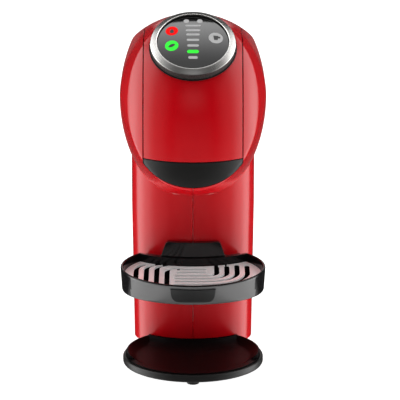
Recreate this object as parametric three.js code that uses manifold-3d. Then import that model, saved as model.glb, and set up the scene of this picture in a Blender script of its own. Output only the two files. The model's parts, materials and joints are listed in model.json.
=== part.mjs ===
// Slim pod coffee machine: a round head over an adjustable drip tray, a narrow column, a low base, a tank behind.
// Millimetres, +Z up, the front faces -Y. Every shape is drawn with y = 0 on the cup's vertical axis; the whole
// group is then moved forward so that the origin is under the middle of the machine's outer box.
import * as THREE from 'three';
import { mergeVertices } from 'three/addons/utils/BufferGeometryUtils.js';
import Module from 'manifold-3d';

const wasm = await Module();
wasm.setup();

// ---- driving dimensions -----------------------------------------------------------------------------------
const GAP = 0.3;                 // clearance between pieces that meet
const WALL = 2.4;                // thickness of the moulded casings
const REAR_Y = 233;              // back of the water tank
const TRAY_RADIUS = 56;          // drip tray, and half of the machine's depth in front of the cup's axis
const SEGMENTS = 32;             // sides of the large round shapes
const INNER_SEGMENTS = 20;       // sides of their hidden inner surfaces

const HEAD = {
  halfWidth: 56, z: 211, up: 62.5, down: 80, jowl: 0.8,   // egg-shaped cross-section of the barrel
  faceHalfWidth: 49.8, faceHalfHeight: 60, brow: 0.75,    // oval front face; brow and jowl below 1 fill it out
  noseY: 27, noseZ: 175, reach: 78, noseUp: 97, noseDown: 60,    // side profile of that face
  barrelY: 12, barrelTopY: 35, barrelChinY: 22,           // where the flare has grown into the barrel
  rearY: 146.5, rearNarrow: 5, rearDrop: 2,               // the barrel narrows and drops a little towards the back
};
const ROOF = { y: 35, z: 271, slope: 0.177, bow: 70, blend: 2 };     // the crown falls away towards the back
const COLUMN = {
  halfWidth: 48.4, footHalfWidth: 46.9, taperZ: 115,      // straight above taperZ, narrower below it
  bow: 36, frontY: 27, bottomZ: 12.3, skirtZ: 5.2, topZ: 205,
};
const STRIP = { half: 37.6, bottomZ: 174.2, arcHalfWidth: 54.4, arcHalfHeight: 57.9 };   // between the cheeks
const HINGE = { y: 84, z: 245, reach: 29, pin: 3, lug: 7 };                      // locking lever's pivot
const PANEL = { y: -10.8, z: 252.7, tilt: THREE.MathUtils.degToRad(37) };        // centre of the control seat
const SEAT = { radius: 33.4, recess: 32.6, hole: 26.9, housing: 26.4 };          // seat of the ring and display
const RING = { outer: 32.1, lip: 27.5, inner: 27.1, bottom: 0.4, shoulder: 5.8, top: 8 };
const DISPLAY = { radius: 26.7, bottom: 2.2, edge: 6.5, crown: 8.75 };
const HOLDER = { plateTop: 172.4, plate: 3.2, half: 36.4, podRadius: 26.5 };
const TRAY = { top: 80, rim: 0.8, bottom: 60, lean: 15.5, wall: 2, pocketZ: 72 };
const GRID = { bottom: 72.3, top: 73.7, slot: 4, pitch: 7.9, bendX: 10, bendY: 1.6 };
const BASE = {
  radius: 54.5, plateRadius: 52, halfWidth: 36.5, lip: 2.5,
  bottom: 2.9, lipZ: 8.6, floorZ: 7.4, topZ: 12,
};
const TANK = { halfWidth: 44, frontY: 149.6, bow: 40, bottom: 12.6, floor: 18, top: 216, wall: 2.2, lid: 6 };
const SHELL_REAR = HEAD.rearY - 4;                       // where the casings end and the rear cover begins
const SWEEP = 320;                                       // taller and deeper than the machine, for cutting boxes

// ---- helpers: solids, joins and cuts --------------------------------------------------------------------------
function signedVolume(position, index) {
  const [a, b, c] = [new THREE.Vector3(), new THREE.Vector3(), new THREE.Vector3()];
  let sum = 0;
  for (let i = 0; i < index.length; i += 3) {
    a.fromBufferAttribute(position, index[i]);
    b.fromBufferAttribute(position, index[i + 1]);
    c.fromBufferAttribute(position, index[i + 2]);
    sum += a.dot(b.cross(c)) / 6;
  }
  return sum;
}

/** A closed three.js geometry as a solid, with its faces turned outwards. */
function solid(geometry) {
  const bare = geometry.clone();
  bare.deleteAttribute('normal');
  bare.deleteAttribute('uv');
  const merged = mergeVertices(bare, 1e-4);
  const all = Array.from(merged.index.array);
  const index = [];
  for (let i = 0; i < all.length; i += 3) {
    const [a, b, c] = all.slice(i, i + 3);
    if (a !== b && b !== c && c !== a) index.push(a, b, c);
  }
  if (signedVolume(merged.attributes.position, index) < 0) index.reverse();
  return new wasm.Manifold(new wasm.Mesh({
    numProp: 3,
    vertProperties: new Float32Array(merged.attributes.position.array),
    triVerts: new Uint32Array(index),
  }));
}

function geometryOf(body) {
  const { vertProperties, triVerts, numProp } = body.getMesh();
  const position = [];
  for (let i = 0; i < vertProperties.length; i += numProp) position.push(...vertProperties.slice(i, i + 3));
  const geometry = new THREE.BufferGeometry();
  geometry.setAttribute('position', new THREE.Float32BufferAttribute(position, 3));
  geometry.setIndex(Array.from(triVerts));
  geometry.computeVertexNormals();
  return geometry;
}

const join = (...bodies) => bodies.reduce((all, body) => all.add(body));
const cut = (body, ...tools) => tools.reduce((rest, tool) => rest.subtract(tool), body);
const common = (...bodies) => bodies.reduce((all, body) => all.intersect(body));

/** Box between two corners. */
function box(x0, x1, y0, y1, z0, z1) {
  const geometry = new THREE.BoxGeometry(x1 - x0, y1 - y0, z1 - z0);
  geometry.translate((x0 + x1) / 2, (y0 + y1) / 2, (z0 + z1) / 2);
  return solid(geometry);
}

/** Rod of radius r from one point to another. */
function rod(r, from, to, sides = 16) {
  const a = new THREE.Vector3(...from);
  const b = new THREE.Vector3(...to);
  const geometry = new THREE.CylinderGeometry(r, r, a.distanceTo(b), sides);
  const turn = new THREE.Quaternion().setFromUnitVectors(new THREE.Vector3(0, 1, 0), b.clone().sub(a).normalize());
  geometry.applyQuaternion(turn);
  geometry.translate(...a.add(b).multiplyScalar(0.5).toArray());
  return solid(geometry);
}

/** Turned shape about the vertical through (x, y); the profile is a list of [radius, z]. */
function turned(profile, x = 0, y = 0, sides = 24) {
  const geometry = new THREE.LatheGeometry(profile.map(([r, z]) => new THREE.Vector2(r, z)), sides);
  geometry.rotateX(Math.PI / 2);
  geometry.translate(x, y, 0);
  return solid(geometry);
}

/** Ring with a rectangular section about the vertical through (x, y). */
function ringOf(inner, outer, z0, z1, x = 0, y = 0, sides = 24) {
  return turned([[inner, z0], [outer, z0], [outer, z1], [inner, z1], [inner, z0]], x, y, sides);
}

/** Upright prism of an outline in x and y. */
function prism(shape, z0, z1, curveSegments = 12) {
  const geometry = new THREE.ExtrudeGeometry(shape, { depth: z1 - z0, bevelEnabled: false, curveSegments });
  geometry.translate(0, 0, z0);
  return solid(geometry);
}

/** Prism of an outline in x and z, running along y. */
function prismAlongY(shape, y0, y1, curveSegments = 12) {
  const geometry = new THREE.ExtrudeGeometry(shape, { depth: y1 - y0, bevelEnabled: false, curveSegments });
  geometry.rotateX(Math.PI / 2);
  geometry.translate(0, y1, 0);
  return solid(geometry);
}

/** Prism of an outline in y and z, running along x. */
function prismAlongX(shape, x0, x1) {
  const geometry = new THREE.ExtrudeGeometry(shape, { depth: x1 - x0, bevelEnabled: false });
  const basis = new THREE.Matrix4().makeBasis(
    new THREE.Vector3(0, 1, 0), new THREE.Vector3(0, 0, 1), new THREE.Vector3(1, 0, 0));
  geometry.applyMatrix4(basis);
  geometry.translate(x0, 0, 0);
  return solid(geometry);
}

const polygon = (points) => new THREE.Shape(points.map(([x, y]) => new THREE.Vector2(x, y)));

/** Closed body through rings of equal point count, each end closed by a fan to its tip. */
function loft(rings, firstTip = centroid(rings[0]), lastTip = centroid(rings.at(-1))) {
  const count = rings[0].length;
  const points = [firstTip, ...rings.flat(), lastTip];
  const last = points.length - 1;
  const at = (ring, k) => 1 + ring * count + (k % count);
  const index = [];
  for (let k = 0; k < count; k++) {
    index.push(0, at(0, k + 1), at(0, k));
    index.push(last, at(rings.length - 1, k), at(rings.length - 1, k + 1));
    for (let r = 0; r + 1 < rings.length; r++) {
      index.push(at(r, k), at(r, k + 1), at(r + 1, k));
      index.push(at(r, k + 1), at(r + 1, k + 1), at(r + 1, k));
    }
  }
  const geometry = new THREE.BufferGeometry();
  geometry.setAttribute('position', new THREE.Float32BufferAttribute(points.flatMap((p) => p.toArray()), 3));
  geometry.setIndex(index);
  return solid(geometry);
}

function centroid(ring) {
  const sum = ring.reduce((total, p) => total.add(p), new THREE.Vector3());
  return sum.multiplyScalar(1 / ring.length);
}

/** Flexible hose of radius r through a list of points. */
function hose(r, points, steps) {
  const path = new THREE.CatmullRomCurve3(points.map((p) => new THREE.Vector3(...p)));
  const section = new THREE.Shape();
  section.absarc(0, 0, r, 0, 2 * Math.PI);
  return solid(new THREE.ExtrudeGeometry(section, { extrudePath: path, steps, curveSegments: 4 }));
}

const mirrored = (body) => body.mirror([1, 0, 0]);
const mix = THREE.MathUtils.lerp;

// ---- outer form: head and column ------------------------------------------------------------------------------
/** Depth of the front face at a point of its elevation, moved inwards by inset. */
function faceY(x, z, inset) {
  const rise = z > HEAD.noseZ
    ? (z - HEAD.noseZ) / (HEAD.noseUp - inset)
    : (HEAD.noseZ - z) / (HEAD.noseDown - inset);
  const bow = HEAD.halfWidth - inset;
  return HEAD.noseY - (HEAD.reach - inset) * Math.sqrt(1 - rise * rise) + bow - Math.sqrt(bow * bow - x * x);
}

/** Cosine raised to a power, so that an oval drawn with it grows squarer corners. */
const fuller = (a, power) => Math.sign(Math.cos(a)) * Math.abs(Math.cos(a)) ** power;

/** Share of the barrel's half width at an angle of its section; below the middle the section is fuller. */
const barrelAcross = (a) => fuller(a, Math.sin(a) < 0 ? HEAD.jowl : 1);

function faceRing(size, inset, sides) {
  return angles(sides).map((a) => {
    const x = size * (HEAD.faceHalfWidth - inset) * fuller(a, Math.sin(a) > 0 ? HEAD.brow : 1);
    const z = HEAD.z + size * (HEAD.faceHalfHeight - inset) * Math.sin(a);
    return new THREE.Vector3(x, faceY(x, z, inset), z);
  });
}

/** A point of the head, brought down to the bowed roof that slopes to the back; the two surfaces blend. */
function underRoof(x, y, z, inset) {
  const roof = ROOF.z - inset - ROOF.slope * (y - ROOF.y) - ROOF.bow + Math.sqrt(ROOF.bow ** 2 - x * x);
  const over = z - roof;
  return new THREE.Vector3(x, y, z - (over + Math.hypot(over, ROOF.blend)) / 2);
}

/** Ring of the flare between the oval's edge (t = 0) and the barrel (t = 1). */
function flareRing(t, inset, sides) {
  const grow = 1 - (1 - t) ** 1.4;
  return faceRing(1, inset, sides).map((edge, k) => {
    const sin = Math.sin(angles(sides)[k]);
    const across = barrelAcross(angles(sides)[k]);
    const endY = mix(HEAD.barrelY, sin > 0 ? HEAD.barrelTopY : HEAD.barrelChinY, Math.abs(sin));
    const endHeight = (sin > 0 ? HEAD.up : HEAD.down) - inset;
    return underRoof(
      mix(edge.x, (HEAD.halfWidth - inset) * across, grow),
      mix(edge.y, endY, t),
      HEAD.z + sin * mix(HEAD.faceHalfHeight - inset, endHeight, grow),
      inset);
  });
}

function barrelRing(y, inset, sides) {
  const back = ((y - HEAD.barrelTopY) / (HEAD.rearY - HEAD.barrelTopY)) ** 2;
  return angles(sides).map((a) => {
    const up = HEAD.up - inset - back * HEAD.rearDrop;
    return underRoof(
      (HEAD.halfWidth - inset - back * HEAD.rearNarrow) * barrelAcross(a), y,
      HEAD.z + Math.sin(a) * (Math.sin(a) > 0 ? up : HEAD.down - inset),
      inset);
  });
}

function angles(sides = SEGMENTS) {
  return Array.from({ length: sides }, (_, k) => (2 * Math.PI * k) / sides);
}

/** The head's solid, moved inwards by inset; hidden inner surfaces take fewer sides. */
function head(inset, sides = SEGMENTS) {
  const rings = [0.4, 0.75, 1].map((size) => faceRing(size, inset, sides));
  rings.push(...[0.25, 0.6, 1].map((t) => flareRing(t, inset, sides)));
  rings.push(...[62, 105, HEAD.rearY].map((y) => barrelRing(y, inset, sides)));
  return loft(rings, new THREE.Vector3(0, faceY(0, HEAD.z, inset), HEAD.z));
}

/** Plan outline of the column, grown outwards by grow. */
function columnRing(halfWidth, grow, z) {
  const steps = 18;
  const bowY = COLUMN.frontY + COLUMN.bow;
  const ring = [];
  for (let k = 0; k <= steps; k++) {
    const a = Math.PI + (Math.PI * k) / steps;
    ring.push(new THREE.Vector3(
      (halfWidth + grow) * Math.cos(a), bowY + (COLUMN.bow + grow) * Math.sin(a), z));
  }
  ring.push(new THREE.Vector3(halfWidth + grow, HEAD.rearY, z));
  ring.push(new THREE.Vector3(-halfWidth - grow, HEAD.rearY, z));
  return ring;
}

function column(grow, bottom = COLUMN.bottomZ, top = COLUMN.topZ) {
  const slope = (COLUMN.halfWidth - COLUMN.footHalfWidth) / (COLUMN.taperZ - COLUMN.bottomZ);
  const half = (z) => COLUMN.footHalfWidth + slope * (Math.min(z, COLUMN.taperZ) - COLUMN.bottomZ);
  return loft([bottom, COLUMN.taperZ, top].map((z) => columnRing(half(z), grow, z)));
}

const outerHead = head(0);
const outerForm = join(outerHead, column(0, COLUMN.skirtZ));
const hollowForm = join(head(WALL, INNER_SEGMENTS), column(-WALL, 0));

// ---- casings --------------------------------------------------------------------------------------------------
/** Opening between the cheeks: an arc below, straight sides, up through the roof. */
function stripShape(half, margin) {
  const shape = new THREE.Shape();
  const a = STRIP.arcHalfWidth + margin;
  const b = STRIP.arcHalfHeight + margin;
  const turn = Math.acos(half / a);
  shape.moveTo(half, SWEEP);
  shape.lineTo(half, HEAD.z - b * Math.sin(turn));
  shape.absellipse(0, HEAD.z, a, b, -turn, -Math.PI + turn, true);
  shape.lineTo(-half, SWEEP);
  return shape;
}

/** Everything that the lever, swinging about its pin, may use; margin adds room around it. */
function leverSpace(margin) {
  const half = STRIP.half + margin;
  return join(
    prismAlongY(stripShape(half, margin), -80, HINGE.y),
    rod(HINGE.reach + margin, [-half, HINGE.y, HINGE.z], [half, HINGE.y, HINGE.z], 40));
}

/** Inner wall beside the lever, with the bearing for its pin. */
function cheekFlange() {
  const skin = cut(outerHead, head(16, INNER_SEGMENTS));
  const wall = box(STRIP.half, STRIP.half + 2, -80, HINGE.y + 24, 169.8, 300);
  return common(skin, wall);
}

const screwPlaces = [[40, 60], [40, 195]];

function casing() {
  const shell = cut(outerForm, hollowForm);
  const bosses = screwPlaces.map(([x, z]) => common(
    box(x - 4, x + 20, SHELL_REAR - 22, SHELL_REAR, z - 4, z + 4), outerForm));
  let body = join(cut(shell, leverSpace(0)), cheekFlange(), ...bosses);
  body = common(body, box(GAP / 2, 80, -100, SHELL_REAR, 0, 300));
  const screwHoles = screwPlaces.map(([x, z]) => rod(2, [x, SHELL_REAR - 20, z], [x, SHELL_REAR + 1, z], 12));
  const pinHole = rod(HINGE.pin + GAP, [30, HINGE.y, HINGE.z], [41, HINGE.y, HINGE.z]);
  const outlet = rod(18, [0, 0, 120], [0, 0, 160], 24);
  const baseRoom = join(
    rod(BASE.plateRadius + GAP, [0, 0, 0], [0, 0, BASE.topZ + GAP], SEGMENTS * 2),
    rod(BASE.radius + GAP, [0, 0, 0], [0, 0, BASE.lipZ + GAP], SEGMENTS * 2),
    box(0, BASE.halfWidth - BASE.lip + GAP, 0, 60, 0, BASE.topZ + GAP),
    box(0, BASE.halfWidth + GAP, 0, 60, 0, BASE.lipZ + GAP));
  return cut(body, pinHole, outlet, baseRoom, ...screwHoles);
}

const buttonPlace = { x0: 43, x1: 48.3, y: 108, z: 52, r: 7 };

function rightCasing() {
  const { y, z, r } = buttonPlace;
  return cut(casing(), rod(r + GAP, [40, y, z], [55, y, z], 24));
}

function rearCover() {
  const slab = box(-80, 80, SHELL_REAR + GAP, HEAD.rearY - 0.2, COLUMN.bottomZ, 300);
  const holes = screwPlaces.flatMap(([x, z]) => [x, -x].map(
    (sx) => rod(2, [sx, SHELL_REAR, z], [sx, HEAD.rearY + 1, z], 12)));
  return cut(common(outerForm, slab), box(-6, 6, 130, 160, 0, 22), ...holes);
}

function rearScrew(x, z) {
  const shaft = rod(1.7, [x, SHELL_REAR - 18, z], [x, HEAD.rearY + 0.5, z], 8);
  return join(shaft, rod(3.3, [x, HEAD.rearY + 0.1, z], [x, HEAD.rearY + 1.5, z], 10));
}

// ---- locking lever with its control panel ---------------------------------------------------------------------
/** Shape about the panel's own axis; the profile is a list of [radius, height above the seat]. */
function onPanel(profile, sides = SEGMENTS) {
  const geometry = new THREE.LatheGeometry(profile.map(([r, w]) => new THREE.Vector2(r, w)), sides);
  geometry.rotateX(Math.PI / 2 + PANEL.tilt);
  geometry.translate(0, PANEL.y, PANEL.z);
  return solid(geometry);
}

const panelDisc = (r, low, high) => onPanel([[0, low], [r, low], [r, high], [0, high]], 32);

function leverCover() {
  const clear = STRIP.half - 0.4;
  const reach = join(
    box(-clear, clear, -80, HINGE.y, STRIP.bottomZ, 300),
    rod(HINGE.reach - 0.5, [-clear, HINGE.y, HINGE.z], [clear, HINGE.y, HINGE.z], 40));
  const skin = cut(outerHead, head(WALL, INNER_SEGMENTS));
  const side = box(clear - 2.2, clear, -80, 130, 176, 300);
  const skirt = common(cut(outerHead, head(8, INNER_SEGMENTS)), join(side, mirrored(side)));
  const seat = common(panelDisc(SEAT.radius, -2.6, 0), outerHead);
  const lugs = [1, -1].map((s) => rod(
    HINGE.lug, [s * (clear - 2.2), HINGE.y, HINGE.z], [s * clear, HINGE.y, HINGE.z]));
  const body = join(common(join(skin, skirt, seat), reach), ...lugs);
  const pin = HINGE.pin + GAP;
  const pinHole = rod(pin, [-50, HINGE.y, HINGE.z], [50, HINGE.y, HINGE.z]);
  return cut(body, panelDisc(SEAT.recess, 0, 25), panelDisc(SEAT.hole, -20, 5), pinHole);
}

function leverLiner() {
  const half = STRIP.half - 3;
  const zone = join(
    box(-half, half, -80, HINGE.y - 12, STRIP.bottomZ + 2, 300),
    common(rod(HINGE.reach - 2, [-half, HINGE.y, HINGE.z], [half, HINGE.y, HINGE.z], 40),
      box(-half, half, 0, 200, HINGE.z + 12, 300)));
  const outside = head(WALL + 2 * GAP, INNER_SEGMENTS);
  const skin = common(cut(outside, head(WALL + 2 * GAP + 1.8, INNER_SEGMENTS)), zone);
  return cut(skin, panelDisc(SEAT.radius + 1.4, -3, 25), panelDisc(SEAT.housing + 1, -25, 25));
}

/** Turning ring: an upright gripped side and, above it, a cone that rises to the lip round the display. */
const selectorRing = () => onPanel([
  [RING.inner, RING.bottom], [RING.outer, RING.bottom], [RING.outer, RING.shoulder - 0.4],
  [RING.outer - 0.3, RING.shoulder], [RING.lip + 0.3, RING.top], [RING.inner, RING.top - 0.3],
  [RING.inner, RING.bottom]]);

/** Domed display window: flat below, crowned above. */
function displayGlass() {
  const profile = [[0, DISPLAY.bottom], [DISPLAY.radius, DISPLAY.bottom], [DISPLAY.radius, DISPLAY.edge]];
  for (const share of [0.85, 0.6, 0.3]) {
    const height = DISPLAY.crown - (DISPLAY.crown - DISPLAY.edge) * share * share;
    profile.push([DISPLAY.radius * share, height]);
  }
  return onPanel([...profile, [0, DISPLAY.crown]]);
}

/** Cup behind the glass; the board lies inside it. */
const displayHousing = () => onPanel([
  [0, -8], [SEAT.housing, -8], [SEAT.housing, 1.9], [SEAT.housing - 2, 1.9], [SEAT.housing - 2, -6], [0, -6]], 28);

const displayBoard = () => panelDisc(SEAT.housing - 2.7, -4, -2.4);

function hingePin(side) {
  return rod(HINGE.pin, [side * 34.6, HINGE.y, HINGE.z], [side * 40.6, HINGE.y, HINGE.z], 16);
}

// ---- pod holder and injector ----------------------------------------------------------------------------------
function podHolder() {
  const bottom = HOLDER.plateTop - HOLDER.plate;
  const front = common(
    cut(outerHead, head(3, INNER_SEGMENTS)),
    prismAlongY(stripShape(STRIP.half - 0.4, -0.4), -80, 0),
    box(-50, 50, -80, 0, 140, STRIP.bottomZ - 0.6));
  const plan = new THREE.Shape();
  plan.moveTo(-HOLDER.half, -60);
  plan.lineTo(HOLDER.half, -60);
  plan.absarc(0, 0, HOLDER.half, 0, Math.PI);
  const plate = common(prism(plan, bottom, HOLDER.plateTop, 10), head(1.5, INNER_SEGMENTS));
  const cup = turned([[0, 158.6], [19.5, 158.6], [29, bottom + 1], [0, bottom + 1]]);
  const seat = turned([[0, 150], [12, 150], [12, 160.8], [17, 160.8], [HOLDER.podRadius, 169.8],
    [HOLDER.podRadius, 180], [0, 180]]);
  return cut(join(front, plate, cup), seat);
}

/** Fixed guide: a sleeve for the injector above the pod holder, and rails under the holder's edges. */
function podGuide() {
  const top = box(-34.4, 34.4, -26, 44, 174.6, 177);
  const back = box(-36.8, 36.8, 40, 44, 160, 174.8);
  const rail = box(31, 36.8, 4, 41, 165.6, 168.9);
  const sleeve = turned([[0, 176], [28.4, 176], [28.4, 190], [0, 190]]);
  return cut(join(top, back, sleeve, rail, mirrored(rail)), turned([[0, 160], [25, 160], [25, 200], [0, 200]]));
}

const injectorHead = () => cut(
  turned([[0, 176.6], [24.4, 176.6], [24.4, 188], [20, 192], [9, 193.5], [9, 201], [0, 201]]),
  turned([[0, 170], [2, 170], [2, 190.6], [0, 190.6]], 0, 0, 12));

const injectorNeedle = () => turned([[0, 173.2], [1.2, 175.4], [1.2, 190.2], [0, 190.2]], 0, 0, 12);
const injectorSeal = () => ringOf(13, 16.5, 174.5, 176.3);
const injectorHose = () => hose(2.6, [
  [0, 72, 190.8], [0, 72, 196.5], [0, 64, 203.5], [0, 40, 207], [0, 20, 202], [0, 11.6, 198]], 14);

// ---- inside the head and the column ---------------------------------------------------------------------------
/** Black deck that shows under the raised lever. */
function innerDeck() {
  const upper = [[-29.6, 193.5], [-26, 205], [-8, 224], [30, 241], [76, 246]];
  const lower = upper.map(([y, z]) => [y + 1.6, z - 2.4]).reverse();
  return prismAlongX(polygon([...upper, ...lower]), -34.2, 34.2);
}

function chassis() {
  const wall = box(-34, 34, 128, 131, 12.8, 222);
  const shelf = box(-34, 34, 60, 129, 117, 120);
  const foot = box(-34, 34, 50, 129, 12.8, 15.3);
  const arm = box(-30, 30, 52, 129, 219, 222);
  const posts = [1, -1].map((s) => box(s * 28 - 2, s * 28 + 2, 58, 64, 221, 241.2));
  const holes = join(rod(4.2, [16, 78, 110], [16, 78, 125]), box(-7, 7, 120, 140, 0, 24));
  return cut(join(wall, shelf, foot, arm, ...posts), holes);
}

const pumpPlace = { x: 16, y: 78 };

const pump = () => turned([
  [0, 18], [6, 18], [6, 26], [9.5, 26], [9.5, 100], [7, 100], [7, 108], [2.6, 108], [2.6, 114], [0, 114]],
pumpPlace.x, pumpPlace.y, 20);

function pumpCoil() {
  const { x, y } = pumpPlace;
  return cut(box(x - 19, x + 19, y - 19, y + 19, 44, 88), rod(9.8, [x, y, 40], [x, y, 92]));
}

const pumpMount = (z) => ringOf(9.8, 15, z, z + 7, pumpPlace.x, pumpPlace.y, 20);

function thermoblock() {
  const block = box(-28, 28, 66, 112, 124, 184);
  const grooves = [0, 1, 2, 3].flatMap((k) => {
    const z = 130 + 13 * k;
    return [box(-30, -24, 60, 120, z, z + 4), box(24, 30, 60, 120, z, z + 4)];
  });
  const nipple = rod(3, [0, 72, 180], [0, 72, 190.3], 16);
  return join(cut(block, ...grooves), nipple);
}

const heaterElement = () => cut(
  box(-32, 32, 62, 116, 147.5, 151.5), box(-28.4, 28.4, 65.6, 112.4, 140, 160));
const thermostat = (x) => turned([[0, 184.3], [8, 184.3], [8, 188], [3, 188], [3, 191], [0, 191]], x, 96, 20);
const flowMeter = () => turned([[0, 15.7], [11, 15.7], [11, 28], [4, 28], [4, 31], [0, 31]], 0, 112, 24);
const inletHose = () => hose(2.5, [[0, 137.6, 18.4], [0, 130, 18.4], [0, 123.4, 18.4]], 2);
const meterHose = () => hose(2.5, [[13.4, 109.5, 22], [16, 104, 21.5], [17, 94, 21], [16, 84.4, 21]], 8);
const pumpHose = () => hose(2.5, [[16, 78, 114.4], [16, 78, 119], [16, 78, 123.6]], 2);

function controlBoard() {
  return join(
    box(-38.6, -37, 50, 118, 26, 108),
    box(-37.5, -24, 56, 76, 36, 60),
    box(-37.5, -26, 86, 104, 34, 52),
    rod(7, [-37.5, 66, 84], [-20, 66, 84], 16));
}

const powerSwitch = () => box(27, 41, 99.5, 116.5, 44, 60);

function powerButton() {
  const { x0, x1, y, z, r } = buttonPlace;
  return rod(r, [x0, y, z], [x1, y, z], 24);
}

const trayRail = () => box(-10, 10, 31, 32.5, 25, 125);

// ---- drip tray ------------------------------------------------------------------------------------------------
/** Plan outline of the tray at a height, moved inwards by inset; the front wall leans in towards the bottom. */
function trayRing(z, inset) {
  const rimZ = TRAY.top - TRAY.rim;
  const down = Math.max(0, (rimZ - z) / (rimZ - TRAY.bottom));
  const side = TRAY_RADIUS - 1.2 * down - inset;
  const front = TRAY_RADIUS - TRAY.lean * down ** 1.1 - inset;
  return angles().map((a) => new THREE.Vector3(
    side * Math.cos(a), (Math.sin(a) < 0 ? front : side) * Math.sin(a), z));
}

function dripTray() {
  const outer = loft([
    trayRing(TRAY.bottom, 3), trayRing(TRAY.bottom + 0.9, 0.7), trayRing(TRAY.bottom + 2.5, 0),
    trayRing(70, 0), trayRing(TRAY.top - TRAY.rim, 0), trayRing(TRAY.top, 0.7)]);
  const pocket = loft([trayRing(TRAY.pocketZ, TRAY.wall), trayRing(TRAY.top + 1, TRAY.wall)]);
  const basin = loft([trayRing(TRAY.bottom + 2.2, 4.5), trayRing(66, TRAY.wall + 1.5),
    trayRing(TRAY.top, TRAY.wall + 1.5)]);
  const body = cut(outer, column(5.6, 40, 100));
  return cut(body, cut(join(pocket, basin), column(7.8, 40, 100)));
}

/**
 * One slot of constant width: it starts at startY on a leg at x = centreX + radius, runs forward to centreY, turns
 * through the angle bend towards the middle and carries on straight for run.
 */
function slotShape(centreX, centreY, radius, startY, bend, run) {
  const half = GRID.slot / 2;
  const along = new THREE.Vector2(-Math.sin(bend), -Math.cos(bend));
  const turn = (r, last = 0) => new THREE.Vector2(
    centreX + r * Math.cos(bend) + last * along.x, centreY - r * Math.sin(bend) + last * along.y);
  const shape = new THREE.Shape();
  shape.moveTo(centreX + radius + half, startY);
  shape.absarc(centreX, centreY, radius + half, 0, -bend, true);
  shape.lineTo(...turn(radius + half, run).toArray());
  const end = turn(radius, run);
  shape.absarc(end.x, end.y, half, -bend, -bend - Math.PI, true);
  shape.absarc(centreX, centreY, radius - half, -bend, 0, false);
  shape.lineTo(centreX + radius - half, startY);
  shape.absarc(centreX + radius, startY, half, Math.PI, 0, true);
  return shape;
}

/** Nested slots that sweep across the front, slots that hook inwards at the back, and short ones under the cup. */
function gridSlots() {
  const slots = [];
  const quarter = Math.PI / 2;
  for (const [k, startY] of [20, 22, 25, 23].entries()) {
    const radius = 8.4 + GRID.pitch * k;
    slots.push(prism(slotShape(GRID.bendX, GRID.bendY, radius, startY, quarter, 23), 70, 76, 4));
  }
  const hooks = [[20, 8, 6, quarter], [28, 10.5, 12, 1.15], [36, 13, 12, 1.3], [44, 20, 10, 0.85]];
  for (const [leg, radius, bendY, bend] of hooks) {
    const front = 0.88 * 48.7 * Math.sqrt(1 - (leg / 53) ** 2) - 2;
    const hook = prism(slotShape(leg - radius, -bendY, radius, front, bend, 0.5), 70, 76, 4);
    slots.push(hook.rotate([0, 0, 180]));
  }
  for (const y of [2.5, 10.5]) slots.push(box(-12.5, 10.5, y - GRID.slot / 2, y + GRID.slot / 2, 70, 76));
  return slots;
}

function dripGrid() {
  const outline = trayRing(GRID.bottom, TRAY.wall + 0.5).map((p) => [p.x, p.y]);
  const plate = cut(prism(polygon(outline), GRID.bottom, GRID.top), column(8.2, 40, 100));
  return cut(plate, ...gridSlots());
}

/** Bracket that hugs the column behind the tray; its sloped shoulders stand above the rim. */
function trayBracket() {
  const sleeve = cut(column(5.3, 62, 150), column(0.9, 40, 160));
  const half = [[37, 62], [37, 79], [25, 79.5], [20.5, 92]];
  const elevation = polygon([...half, ...half.map(([x, z]) => [-x, z]).reverse()]);
  const plate = common(sleeve, prismAlongY(elevation, -10, 45));
  return cut(plate, box(-8.3, 8.3, 23.6, 30, 65.7, 82.3));
}

const trayMagnet = () => box(-8, 8, 23.9, 25.9, 66, 82);

/** Blank badge lying on the leaning front wall. */
function trayBadge() {
  const wall = (inset) => loft([TRAY.bottom + 2.5, 70, TRAY.top - TRAY.rim].map((z) => trayRing(z, inset)));
  const skin = cut(wall(-1.1), wall(-GAP));
  const half = [[12.4, 63.7], [14.8, 65.2], [16.4, 68], [17, 76.4]];
  const elevation = polygon([...half, ...half.map(([x, z]) => [-x, z]).reverse()]);
  return common(skin, prismAlongY(elevation, -70, 0));
}

// ---- base and feet --------------------------------------------------------------------------------------------
/** Plan of the base: a round front and straight sides to a rounded back, moved inwards by inset. */
function basePlan(radius, inset) {
  const half = BASE.halfWidth - inset;
  const meet = Math.asin(half / radius);
  const corner = 14;
  const back = REAR_Y - 1 - inset;
  const shape = new THREE.Shape();
  shape.absarc(0, 0, radius, Math.PI / 2 + meet, 2 * Math.PI + Math.PI / 2 - meet);
  shape.absarc(half - corner, back - corner, corner, 0, Math.PI / 2);
  shape.absarc(corner - half, back - corner, corner, Math.PI / 2, Math.PI);
  return shape;
}

const baseScrewPlaces = [[30, 50], [-30, 50], [30, 190], [-30, 190]];
const glandNotch = () => box(-31, -19, 216, 240, 4.6, 12.5);

function basePan() {
  const outer = prism(basePlan(BASE.radius, 0), BASE.bottom, BASE.lipZ, 9);
  const pocket = prism(basePlan(BASE.plateRadius + GAP, BASE.lip - GAP), BASE.bottom + 1.8, 20, 9);
  const holes = baseScrewPlaces.map(([x, y]) => rod(1.9, [x, y, 0], [x, y, 8], 8));
  const recesses = footPlaces.map(([, x, y]) => rod(3, [x, y, 0], [x, y, BASE.bottom + 1], 10));
  return cut(outer, pocket, glandNotch(), ...holes, ...recesses);
}

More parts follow.
